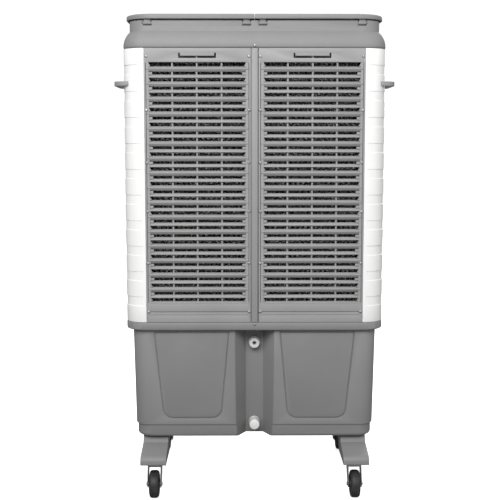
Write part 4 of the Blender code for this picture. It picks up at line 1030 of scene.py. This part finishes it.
# %% Housing shell
house_low, house_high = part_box("top_housing")
NECK_HALF = (0.334, 0.2045)
RIM_IN = 0.009
NECK_Z = 1.256
NECK_TOP = 1.2835
SHOULDER_Z = 1.216
SHOULDER_IN = 0.0155
SHOULDER = [(house_low.z, 0.0030), (house_low.z + 0.0012, 0.0012),
            (house_low.z + 0.0030, 0.0003)]
for share in (0.0, 0.2, 0.35, 0.5, 0.62, 0.74, 0.85, 0.94):
    SHOULDER.append((SHOULDER_Z + share * (NECK_Z - SHOULDER_Z), SHOULDER_IN * share ** 2.2))
housing = stack("top_housing_shell", BODY_CORNER - 0.003,
                [(z, *body(inset)) for z, inset in SHOULDER]
                + [(NECK_Z, *NECK_HALF), (NECK_TOP, *NECK_HALF),
                   (NECK_TOP, NECK_HALF[0] - RIM_IN, NECK_HALF[1] - RIM_IN),
                   (house_high.z, NECK_HALF[0] - RIM_IN, NECK_HALF[1] - RIM_IN)], segments=14)
print("housing:", len(SHOULDER), "levels up to the shoulder")

# %% [markdown]
# Two deep bays take ice, and pockets in the rear of the neck hold the lid hinges. Water
# reaches the pads through small holes in the bay floors. All of them are cut from the solid
# stack, as a milling cutter would; drawing them into the stack would break its levels.

# %% Bays, pockets and holes
BAY_X = (0.014, 0.300)
BAY_DEEP = 0.178
BAY_FLOOR = 1.222
HINGE = (-0.2015, 1.2765)
HINGE_X = (0.0215, 0.2830)
POCKET_HALF = 0.0115
PIN_PAST = 0.0025
FEED_X = (0.09, 0.21)
FEED_Y = -0.1335
FEED_Z = (1.19, 1.24)
FEED_HOLE = 0.006
for side in (-1, 1):
    ends = sorted((side * BAY_X[0], side * BAY_X[1]))
    bay = box("ice_bay", (ends[0], -BAY_DEEP, BAY_FLOOR),
              (ends[1], BAY_DEEP, house_high.z + 2 * PAST))
    edit(bay)
    pick(bay, "EDGE", lambda place, item: span(item, Z) > 0.01)
    bpy.ops.mesh.bevel(offset=0.014, segments=6)
    leave()
    cut(housing, bay)
    for x in HINGE_X:
        pocket = box("hinge_pocket", (side * x - POCKET_HALF, -0.230, HINGE[1] - 0.0065),
                     (side * x + POCKET_HALF, HINGE[0] + 0.0085, house_high.z + PAST))
        pin = rod("pin_hole", (side * x - POCKET_HALF - PIN_PAST, *HINGE),
                  (side * x + POCKET_HALF + PIN_PAST, *HINGE), 0.0026, 16)
        cut(housing, pocket, pin)
    for x in FEED_X:
        cut(housing, rod("feed_hole", (side * x, FEED_Y, FEED_Z[0]),
                         (side * x, FEED_Y, FEED_Z[1]), FEED_HOLE))
cut(housing, box("rim_split", (-0.010, -0.3, NECK_TOP), (0.010, 0.3, house_high.z + PAST)))
soften(housing, 0.0008, 2, 40)
dress(housing, tank_plastic, "root", "top_housing")
print("top housing:", len(housing.data.polygons), "faces")

# %% [markdown]
# ## The lids
# Two thin lids meet in the middle. Each is a shallow dish turned upside down, with a
# rounded edge, ribs underneath, and two hinge knuckles at its rear. The stack makes both
# at once; a bisect would leave it open, so a box takes the far half away.

# %% Lids
lid_low, lid_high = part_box("right_lid")
LID_HALF = (0.3435, 0.213)
LID_BOTTOM = 1.2870
LID_CORNER = 0.072
LID_WALL = 0.005
LID_SKIN = 0.0035
LID_RIB_X = (0.10, 0.20)
lid = stack("right_lid_shell", LID_CORNER, [
    (LID_BOTTOM, LID_HALF[0] - 0.0008, LID_HALF[1] - 0.0008),
    (LID_BOTTOM + 0.0008, *LID_HALF), (lid_high.z - 0.0046, *LID_HALF),
    (lid_high.z - 0.0024, LID_HALF[0] - 0.0006, LID_HALF[1] - 0.0006),
    (lid_high.z - 0.0009, LID_HALF[0] - 0.0019, LID_HALF[1] - 0.0019),
    (lid_high.z, LID_HALF[0] - 0.0042, LID_HALF[1] - 0.0042)], segments=16)
under = stack("lid_under", LID_CORNER - LID_WALL, [
    (LID_BOTTOM - 0.005, LID_HALF[0] - LID_WALL, LID_HALF[1] - LID_WALL),
    (lid_high.z - LID_SKIN, LID_HALF[0] - LID_WALL, LID_HALF[1] - LID_WALL)])
cut(under, box("middle_rim", (-0.5, -0.3, 1.2), (lid_low.x + LID_WALL, 0.3, 1.4)))
cut(lid, box("far_half", (-0.5, -0.3, 1.2), (lid_low.x, 0.3, 1.4)), under)
for x in LID_RIB_X:
    fuse(lid, box("lid_rib", (x, -0.170, lid_high.z - LID_SKIN - 0.004),
                  (x + 0.002, 0.170, lid_high.z - LID_SKIN / 2)))
for x in HINGE_X:
    arm = box("hinge_arm", (x - 0.0085, HINGE[0] - 0.0030, HINGE[1]),
              (x + 0.0085, HINGE[0] + 0.0030, lid_high.z - LID_SKIN / 2))
    knuckle = rod("hinge_knuckle", (x - 0.0105, *HINGE), (x + 0.0105, *HINGE), 0.0045)
    pin = rod("hinge_pin", (x - 0.013, *HINGE), (x + 0.013, *HINGE), 0.0020, 16)
    fuse(lid, arm, knuckle, pin)
soften(lid, 0.0005, 2, 45)
dress_both(lid, tank_plastic, "right_lid", "right_lid_body")
print("lid:", len(lid.data.polygons), "faces each")

# %% [markdown]
# ## The side handles
# A low handle bows out from each white panel, high up near the rear. It is a rounded block
# as wide as the bow, trimmed by the body's own outline, with a gap for the fingers. A pipe
# swept along a curve would be quicker, but it would look like bent wire.

# %% Handles
handle_low, handle_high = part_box("right_handle")
HANDLE_Y = (-0.205, -0.025)
GRIP = 0.0125
GAP_ENDS = (0.034, 0.022)
bow_half = (HANDLE_Y[1] - HANDLE_Y[0]) / 2
handle = stack("right_handle_bow", 0.034, [
    (handle_low.z + 0.0040, handle_high.x, bow_half),
    (handle_high.z - 0.0015, handle_high.x, bow_half)], segments=10)
edit(handle)
bpy.ops.transform.translate(value=(0, sum(HANDLE_Y) / 2, 0))
leave()
cut(handle, stack("body_outline", BODY_CORNER, [(handle_low.z - PAST, *body(-0.0005)),
                                                (handle_high.z + PAST, *body(-0.0005))]))
cut(handle, box("far_side", (-0.5, -0.3, handle_low.z - PAST), (0, 0.3, handle_high.z + PAST)))
gap = box("finger_gap", (0.33, HANDLE_Y[0] + GAP_ENDS[0], handle_low.z - PAST),
          (handle_high.x - GRIP, HANDLE_Y[1] - GAP_ENDS[1], handle_high.z + PAST))
edit(gap)
pick(gap, "EDGE", lambda place, item: place.x > 0.34 and span(item, Z) > 0.01)
bpy.ops.mesh.bevel(offset=0.008, segments=5)
leave()
cut(handle, gap)
soften(handle, 0.0024, 3, 40)
dress_both(handle, grey_plastic, "right_handle")
print("handle:", len(handle.data.polygons), "faces each")

# %% [markdown]
# ## Legs
# Four bracket legs are screwed under the tank. Seen from the side each is a wedge that
# slopes down and outwards to a rounded lip, so that the casters stand wider than the tank.
# Each could be a box with a twisted end, but the slope and lip are plain in a drawn
# section. It is drawn once for the rear and pulled across; the others are mirrored.

# %% Legs
leg_low, leg_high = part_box("rear_right_leg")
LIP = leg_low.y
SWIVEL = (leg_low.x + leg_high.x) / 2
SWIVEL_Y = 0.210
BROW = leg_low.z + 0.0185
STEM_TOP = leg_low.z + 0.0275
STEM_HOLE = 0.0061
leg = bar("rear_right_bracket", [
    (LIP + 0.204, leg_high.z), (LIP + 0.1045, leg_high.z), (LIP + 0.0950, leg_high.z - 0.0060),
    (LIP + 0.0880, BROW + 0.0185), (LIP + 0.0145, BROW + 0.0050), (LIP + 0.0065, BROW + 0.0024),
    (LIP + 0.0020, BROW - 0.0020), (LIP, BROW - 0.0075), (LIP, leg_low.z + 0.0020),
    (LIP + 0.0020, leg_low.z), (LIP + 0.131, leg_low.z)], X, leg_low.x, leg_high.x)
cut(leg, rod("stem_hole", (SWIVEL, -SWIVEL_Y, leg_low.z - PAST), (SWIVEL, -SWIVEL_Y, STEM_TOP),
             STEM_HOLE))
soften(leg, 0.0022, 3, 30)
left_leg = copied(leg, "rear_left_bracket", mirrored=True)
front_leg = copied(leg, "front_right_bracket")
edit(front_leg)
bpy.ops.transform.resize(value=(1, -1, 1), center_override=(0, 0, 0))
bpy.ops.mesh.flip_normals()
leave()
front_left_leg = copied(front_leg, "front_left_bracket", mirrored=True)
for piece, node in ((leg, "rear_right_leg"), (left_leg, "rear_left_leg"),
                    (front_leg, "front_right_leg"), (front_left_leg, "front_left_leg")):
    smooth(piece, 40)
    dress(piece, tank_plastic, "root", node)
print("legs:", len(leg.data.polygons), "faces each")

# %% [markdown]
# ## Casters
# A swivel caster is a pressed zinc fork under a ball race, with a rubber-tyred wheel on an
# axle bolt. A fork could be bent from a flat strip, but the frame's plain shape is right
# already and only gets rolled edges. A dark cover shuts dust out of the ball race. The
# wheel is spun from one profile: a rounded tread, a recessed web and a hub.

# %% Caster forks, wheels and axles
CORNERS = ("rear_left", "rear_right", "front_left", "front_right")
RACE_Z = leg_low.z - 0.0010
TRAIL = 0.028
HUB_OUT = 0.002
for corner in CORNERS:
    fork = welded(f"{corner}_caster_fork", f"{corner}_fork_pressing")
    soften(fork, 0.0007, 2, 40, whole_faces=False)
    wheel_low, wheel_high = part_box(f"{corner}_caster_wheel")
    place = (wheel_low + wheel_high) / 2
    radius = (wheel_high.z - wheel_low.z) / 2
    half = (wheel_high.x - wheel_low.x) / 2 - HUB_OUT
    leg_left, leg_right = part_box(f"{corner}_leg")
    stem = (leg_left.x + leg_right.x) / 2
    smooth(fork, 40)
    dress(fork, zinc_steel, f"{corner}_caster", f"{corner}_caster_fork")
    race = turned(f"{corner}_race_cover", [
        (0.0070, RACE_Z - 0.0038), (0.0190, RACE_Z - 0.0038), (0.0208, RACE_Z - 0.0030),
        (0.0214, RACE_Z - 0.0014), (0.0206, RACE_Z), (0.0070, RACE_Z),
        (0.0070, RACE_Z - 0.0038)], (stem, place.y + TRAIL, 0), Z, 36)
    smooth(race, 40)
    dress(race, black_plastic, f"{corner}_caster")
    rim = [(0.0046, half + HUB_OUT), (0.0105, half + HUB_OUT), (0.0118, half - 0.0010),
           (0.0130, half - 0.0036), (0.0225, half - 0.0036), (0.0240, half - 0.0012),
           (0.0262, half - 0.0004), (radius - 0.0075, half), (radius - 0.0034, half - 0.0012),
           (radius - 0.0012, half - 0.0036), (radius - 0.0002, half - 0.0070), (radius, 0.0)]
    mirror = [(r, -h) for r, h in reversed(rim[:-1])]
    wheel = turned(f"{corner}_tyred_wheel", rim + mirror + [rim[0]], place, X, 48)
    smooth(wheel, 34)
    dress(wheel, caster_rubber, f"{corner}_wheel", f"{corner}_caster_wheel")
    axle_low, axle_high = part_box(f"{corner}_caster_axle")
    reach = (axle_high.x - axle_low.x) / 2
    axle = turned(f"{corner}_axle_bolt", [
        (0.0, reach), (0.0032, reach), (0.0050, reach - 0.0008), (0.0055, reach - 0.0025),
        (0.0038, reach - 0.0025), (0.0038, -reach + 0.0025)], place, X, 24)
    nut = turned("axle_nut", [(0.0038, -reach + 0.0026), (0.0055, -reach + 0.0026),
                              (0.0055, -reach + 0.0004), (0.0050, -reach), (0.0, -reach)],
                 place, X, 6)
    axle = together(f"{corner}_axle_bolt", [nut, axle])
    smooth(axle, 30)
    dress(axle, zinc_steel, f"{corner}_caster", f"{corner}_caster_axle")
print("casters:", len(CORNERS))

# %% [markdown]
# ## The water fittings
# Water comes in through a round fitting high in the recess and drains through a capped
# spigot at its foot. Both are spun parts in natural light plastic: a flange against the
# wall, a collar, and a bore. Stacked cylinders would leave hidden inner faces; one profile
# per part does not. The drain's cap is a plain cup with a rounded end that pulls off.

# %% Inlet and drain
valve_low, valve_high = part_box("inlet_valve")
cap_low, cap_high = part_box("drain_cap")
drain_z = (cap_low.z + cap_high.z) / 2
INLET_Z = valve_high.z - 0.016
spigot_end = valve_low.y - RECESS_BACK
inlet = turned("inlet_spigot", [
    (0.0, 0.030), (0.0108, 0.030), (0.0110, 0.028), (0.0110, 0.0047), (0.0080, 0.0046),
    (0.0080, -0.0004), (0.0150, -0.0004), (0.0156, -0.0012), (0.0156, -0.0036),
    (0.0150, -0.0044), (0.0130, -0.0048), (0.0130, -0.0068),
    (0.0138, -0.0076), (0.0138, spigot_end + 0.0014), (0.0134, spigot_end + 0.0004),
    (0.0126, spigot_end),
    (0.0062, spigot_end), (0.0052, spigot_end + 0.0010), (0.0048, 0.0140),
    (0.0, 0.0140)], (0, RECESS_BACK, INLET_Z), Y, 40)
smooth(inlet, 34)
lug = welded("inlet_valve", "valve_lug")
cut(lug, box("lug_front", (-0.05, -0.30, 0.30), (0.05, RECESS_BACK + 0.0060, 0.50)))
soften(lug, 0.0004, 2, 50, whole_faces=False)
inlet = together("inlet_spigot_valve", [lug, inlet])
dress(inlet, light_plastic, "root", "inlet_valve")
outlet = turned("drain_spigot", [
    (0.0055, 0.010), (0.0108, 0.010), (0.0110, 0.009), (0.0110, 0.0047), (0.0080, 0.0046),
    (0.0080, -0.0004), (0.0145, -0.0004), (0.0150, -0.0010), (0.0150, -0.0034),
    (0.0142, -0.0040), (0.0095, -0.0040), (0.0095, -0.0200), (0.0055, -0.0200),
    (0.0055, 0.010)], (0, RECESS_BACK, drain_z), Y, 40)
smooth(outlet, 34)
dress(outlet, light_plastic, "root", "drain_outlet")
end = cap_low.y - RECESS_BACK
cap = turned("drain_cap_cup", [
    (0.0, end), (0.0112, end), (0.0130, end + 0.0008), (0.0139, end + 0.0026),
    (0.0142, end + 0.0060), (0.0144, -0.0062), (0.0142, -0.0055), (0.0101, -0.0055),
    (0.0101, -0.0210), (0.0, -0.0210)], (0, RECESS_BACK, drain_z), Y, 40)
smooth(cap, 40)
dress(cap, light_plastic, "cap", "drain_cap")
print("fittings at heights", round(INLET_Z, 4), "and", round(drain_z, 4))

# %% [markdown]
# ## The outlet side
# The front panel has a deep duct with two sets of vanes: five uprights steer the air
# sideways and five level ones steer it up and down, each set tied by a link bar. They
# could be drawn again, but their pins have to fit, so their shapes come from the frame;
# rounded edges make them shine along their length as moulded parts do.

# %% Front panel and vanes
front = welded("front_panel", "front_outlet_panel")
soften(front, 0.0008, 2, 50, whole_faces=False)
dress(front, grey_plastic, "root", "front_panel")
for kind in ("upright", "level"):
    for number in range(1, 6):
        node = f"{kind}_vane_{number}"
        vane = welded(node, f"{kind}_vane_blade_{number}")
        soften(vane, 0.0006, 2, 60, whole_faces=False)
        dress(vane, vane_plastic, f"{node}_body", node)
print("vanes:", sum("vane_blade" in name for name in dressed))

# %% [markdown]
# ## Control plate
# A black control plate sits over the outlet. Round the knob's place are plain raised marks
# that grow with the speed. They could be a pattern in the finish, but raised solids stay
# crisp from close by. They are generic and carry no lettering.

# %% Control plate and dial marks
plate_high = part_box("control_panel")[1]
knob_low, knob_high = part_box("speed_knob")
knob_middle = (knob_low + knob_high) / 2
PLATE_FACE = plate_high.y
MARK_RING = 0.0265
DIAL_MARKS = 9
DIAL_SWEEP = 270
marks = []
plate = welded("control_panel", "control_plate")
soften(plate, 0.0009, 3, 50, whole_faces=False)
dress(plate, black_plastic, "root", "control_panel")


def raise_mark(x, z, radius, steps):
    """A small round mark that stands out of the control plate."""
    mark = rod("mark", (x, PLATE_FACE - 0.0004, z), (x, PLATE_FACE + 0.0006, z), radius, steps)
    marks.append(soften(mark, 0.0003, 2))


for index in range(DIAL_MARKS):
    angle = math.radians(-DIAL_SWEEP / 2 + index * DIAL_SWEEP / (DIAL_MARKS - 1))
    raise_mark(knob_middle.x + MARK_RING * math.sin(angle),
               knob_middle.z + MARK_RING * math.cos(angle), 0.0009 + 0.00012 * index, 16)
print("dial marks:", len(marks))

# %% [markdown]
# ## Push buttons
# Each of the three buttons has a small dot over it. A button is a box whose edges are
# rounded and whose face is inset twice, which leaves a dished top for the finger. The dish
# could be cut with a ball, but the insets keep its edge even.

# %% Push buttons and their dots
BUTTON_MARK_UP = 0.0080
for number in (1, 2, 3):
    low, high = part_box(f"push_button_{number}")
    raise_mark((low.x + high.x) / 2, high.z + BUTTON_MARK_UP, 0.0016, 20)
    button = box(f"push_button_cap_{number}", low, high)
    edit(button)
    pick(button, "EDGE", lambda place, item: span(item, Y) > 0.004)
    bpy.ops.mesh.bevel(offset=0.0022, segments=4)
    pick(button, "FACE", lambda place, item: item.normal.y > 0.9)
    bpy.ops.mesh.inset(thickness=0.0020, depth=0)
    bpy.ops.mesh.inset(thickness=0.0010, depth=-0.0007)
    leave()
    soften(button, 0.0005, 2)
    dress(button, light_plastic, f"button_{number}", f"push_button_{number}")
print("marks with the buttons' dots:", len(marks))
marks = together("control_marks", marks)
smooth(marks)
dress(marks, light_plastic, "root")

# %% [markdown]
# ## The speed knob
# The knob is a low dial with a sunk face and a pointer ridge across it. A bevelled cylinder
# would be close, but the spun profile has the rim and the sunk face in one go.

# %% Speed knob
KNOB_R = (knob_high.x - knob_low.x) / 2
knob_face = knob_high.y
knob = turned("speed_knob_dial", [
    (0.0, knob_face - 0.0040), (KNOB_R - 0.0075, knob_face - 0.0040),
    (KNOB_R - 0.0060, knob_face - 0.0034), (KNOB_R - 0.0050, knob_face - 0.0008),
    (KNOB_R - 0.0040, knob_face - 0.0004), (KNOB_R - 0.0028, knob_face - 0.0016),
    (KNOB_R - 0.0002, PLATE_FACE + 0.0022), (KNOB_R, PLATE_FACE + 0.0010),
    (0.0040, PLATE_FACE + 0.0010), (0.0040, knob_low.y), (0.0, knob_low.y)],
    (knob_middle.x, 0, knob_middle.z), Y, 48)
pointer = box("pointer", (knob_middle.x - 0.0016, knob_face - 0.0060, knob_middle.z + 0.0015),
              (knob_middle.x + 0.0016, knob_face, knob_middle.z + KNOB_R - 0.0036))
soften(pointer, 0.0007, 2)
knob = together("speed_knob_dial", [pointer, knob])
smooth(knob, 36)
dress(knob, light_plastic, "knob", "speed_knob")
print("knob:", round(2 * KNOB_R, 4), "m across")

# %% [markdown]
# ## Inside the body
# The fan, its ring, the motor, the pump and the water parts are seen through the vanes and
# with the lids open. They keep the frame's shapes, which are already exact, with softened
# edges and their own finishes. The motor gets cooling fins, the hose is spun smooth, and
# the two link bars get the vanes' finish. The frame's own solids could be dressed as they
# are, but that would leave their edges razor sharp.

# %% Fan, ring, bracket and motor
INSIDES = (("fan_rotor", "fan_rotor_moulding", black_plastic, "fan"),
           ("fan_shroud", "fan_ring", black_plastic, "root"),
           ("motor_bracket", "motor_bracket_bar", zinc_steel, "root"),
           ("water_pump", "pump_casing", black_plastic, "root"),
           ("water_trough", "water_trough_channel", light_plastic, "root"),
           ("float_arm", "float_and_arm", light_plastic, "float"),
           ("rear_frame", "rear_frame_moulding", grey_plastic, "root"),
           ("upright_link_bar", "upright_link_strip", vane_plastic, "upright_link"),
           ("level_link_bar", "level_link_strip", vane_plastic, "level_link"))
for node, name, finish, rider in INSIDES:
    piece = welded(node, name)
    soften(piece, 0.0005, 2, 50, whole_faces=False)
    dress(piece, finish, rider, node)
motor_low, motor_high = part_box("fan_motor")
motor_middle = (motor_low + motor_high) / 2
MOTOR_R = (motor_high.x - motor_low.x) / 2
FINS = 6
FIN_FIRST = 0.020
FIN_STEP = 0.008
motor = welded("fan_motor", "fan_motor_can")
soften(motor, 0.0006, 2, 50, whole_faces=False)
fins = [motor]
for index in range(FINS):
    y = motor_high.y - FIN_FIRST - index * FIN_STEP
    fins.append(turned("motor_fin", [
        (MOTOR_R - 0.004, y - 0.0012), (MOTOR_R - 0.0005, y - 0.0012), (MOTOR_R, y - 0.0006),
        (MOTOR_R, y + 0.0006), (MOTOR_R - 0.0005, y + 0.0012), (MOTOR_R - 0.004, y + 0.0012),
        (MOTOR_R - 0.004, y - 0.0012)], (motor_middle.x, 0, motor_middle.z), Y, 64))
motor = together("fan_motor_finned", fins)
smooth(motor, 34)
dress(motor, motor_paint, "root", "fan_motor")
hose = turned("riser_hose_tube", [
    (0.0060, hose_high.z), (0.0090, hose_high.z), (0.0090, hose_low.z), (0.0060, hose_low.z),
    (0.0060, hose_high.z)], (hose_middle.x, hose_middle.y, 0), Z, 32)
smooth(hose, 34)
dress(hose, light_plastic, "root", "riser_hose")
print("inside pieces:", len(INSIDES) + 2)

# %% [markdown]
# ## Screws
# Pan-head screws hold the grilles down both edges, and one more holds the post at each end.
# A head is a spun dome with a cross cut into it. Painted dots would do from far away, but
# a real head catches the light; it is made once and copied to every place.

# %% Screws
head = turned("screw_head", [
    (0.0, -0.0022), (0.0018, -0.0020), (0.0033, -0.0013), (0.0042, 0.0), (0.0043, 0.0012),
    (0.0, 0.0012)], (0, 0, 0), Y, 24)
for width, height in ((0.0022, 0.0004), (0.0004, 0.0022)):
    cut(head, box("cross", (-width, -PAST, -height), (width, -0.0011, height)))
smooth(head, 40)
SCREW_X = (0.0150, 0.2855)
SCREW_Z = (1.189, 1.049, 0.911, 0.781, 0.642, 0.510)
POST_SCREW_Z = (1.2175, 0.4760)
SCREW_OUT = 0.0002
places = [(x, FRONT - SCREW_OUT, z) for z in SCREW_Z
          for x in (-SCREW_X[1], -SCREW_X[0], SCREW_X[0], SCREW_X[1])]
places += [(0, -BODY_HALF[1] - SCREW_OUT, z) for z in POST_SCREW_Z]
heads = [copied(head, "screw", place) for place in places]
bpy.data.objects.remove(head)
screws = together("grille_screws", heads)
smooth(screws, 40)
dress(screws, zinc_steel, "root")
print("screws:", len(places))

# %% [markdown]
# ## Floor and room
# The cooler stands on a pale floor in a white room. A plain white floor and sky would show
# well, but they would also throw so much light back that the shading is washed out. A light
# path tells a look by the camera from a bounce of light, so both are bright to look at and
# dim to everything else. The floor's glow fades under the cooler, where a shadow would be.

# %% Floor and room
ROOM_SEEN = 1.1
ROOM_LIGHT = 0.46


def split_by_ray(tree, bounced, seen, surface):
    """Shows the camera one shader and gives every other ray another."""
    rays = tree.nodes.new("ShaderNodeLightPath")
    either = tree.nodes.new("ShaderNodeMixShader")
    tree.links.new(rays.outputs["Is Camera Ray"], either.inputs["Fac"])
    tree.links.new(bounced.outputs[0], either.inputs[1])
    tree.links.new(seen.outputs[0], either.inputs[2])
    tree.links.new(either.outputs["Shader"], surface)


bpy.context.scene.view_settings.view_transform = "Standard"
bpy.ops.object.select_all(action="DESELECT")
bpy.ops.mesh.primitive_plane_add(size=14.0, location=(0, 0, 0))
floor = settle("studio_floor")
floor_finish, floor_shader, floor_place = new_finish("studio_floor")
floor_cloud = floor_place.noise(2.0, 4.0)
far = floor_place.node("VectorMath", {"operation": "LENGTH"}, {0: floor_place}, out="Value")
connect(floor_shader, Base_Color=floor_cloud.blend(shade(252), shade(255)),
        Roughness=0.6 + 0.1 * floor_cloud,
        Emission_Color=far.ramp((0.5, 0.0), (1.0, 1.0)).blend(shade(226), shade(255)))
floor_shader.inputs["Emission Strength"].default_value = 1.0
floor_tree = floor_finish.node_tree
bounce = floor_tree.nodes.new("ShaderNodeBsdfPrincipled")
bounce.inputs["Roughness"].default_value = 0.8
connect(bounce, Base_Color=floor_cloud.blend(shade(128), shade(136)))
split_by_ray(floor_tree, bounce, floor_shader,
             floor_tree.nodes["Material Output"].inputs["Surface"])
floor.data.materials.append(floor_finish)

world = bpy.data.worlds.new("studio_room")
world.use_nodes = True
bpy.context.scene.world = world
room = world.node_tree
dim, bright = room.nodes["Background"], room.nodes.new("ShaderNodeBackground")
for light, strength in ((dim, ROOM_LIGHT), (bright, ROOM_SEEN)):
    light.inputs["Color"].default_value = (1, 1, 1, 1)
    light.inputs["Strength"].default_value = strength
split_by_ray(room, dim, bright, room.nodes["World Output"].inputs["Surface"])
print("room: seen at", ROOM_SEEN, "and lighting at", ROOM_LIGHT)

# %% [markdown]
# ## Lights
# Four large soft lights: the key, above and behind the camera, lights the shoulder and the
# blades' upper sides; a weak one overhead lifts the lids; one on the outlet's side keeps
# that side readable; a narrow one from the right rounds the white panel. One strong lamp
# would be simpler, but its hard shadows would hide the slots.

# %% Lights
LIGHTS = (("key_light", (-0.6, -2.6, 2.3), (0, 0, 0.9), (2.4, 1.4), 88),
          ("top_light", (0.0, 0.1, 3.2), (0, 0, 1.2), (2.4, 2.0), 20),
          ("front_light", (0.9, 2.8, 1.9), (0, 0, 0.8), (1.8, 1.6), 45),
          ("side_light", (2.4, -1.5, 1.7), (0.3, 0, 0.9), (1.2, 1.6), 13))
for name, place, target, size, power in LIGHTS:
    turn = (Vector(target) - Vector(place)).to_track_quat("-Z", "Y").to_euler()
    bpy.ops.object.select_all(action="DESELECT")
    bpy.ops.object.light_add(type="AREA", location=place, rotation=turn)
    lamp = bpy.context.active_object
    lamp.name = name
    lamp.data.shape = "RECTANGLE"
    lamp.data.size, lamp.data.size_y = size
    lamp.data.energy = power
print("lights:", [light[0] for light in LIGHTS])
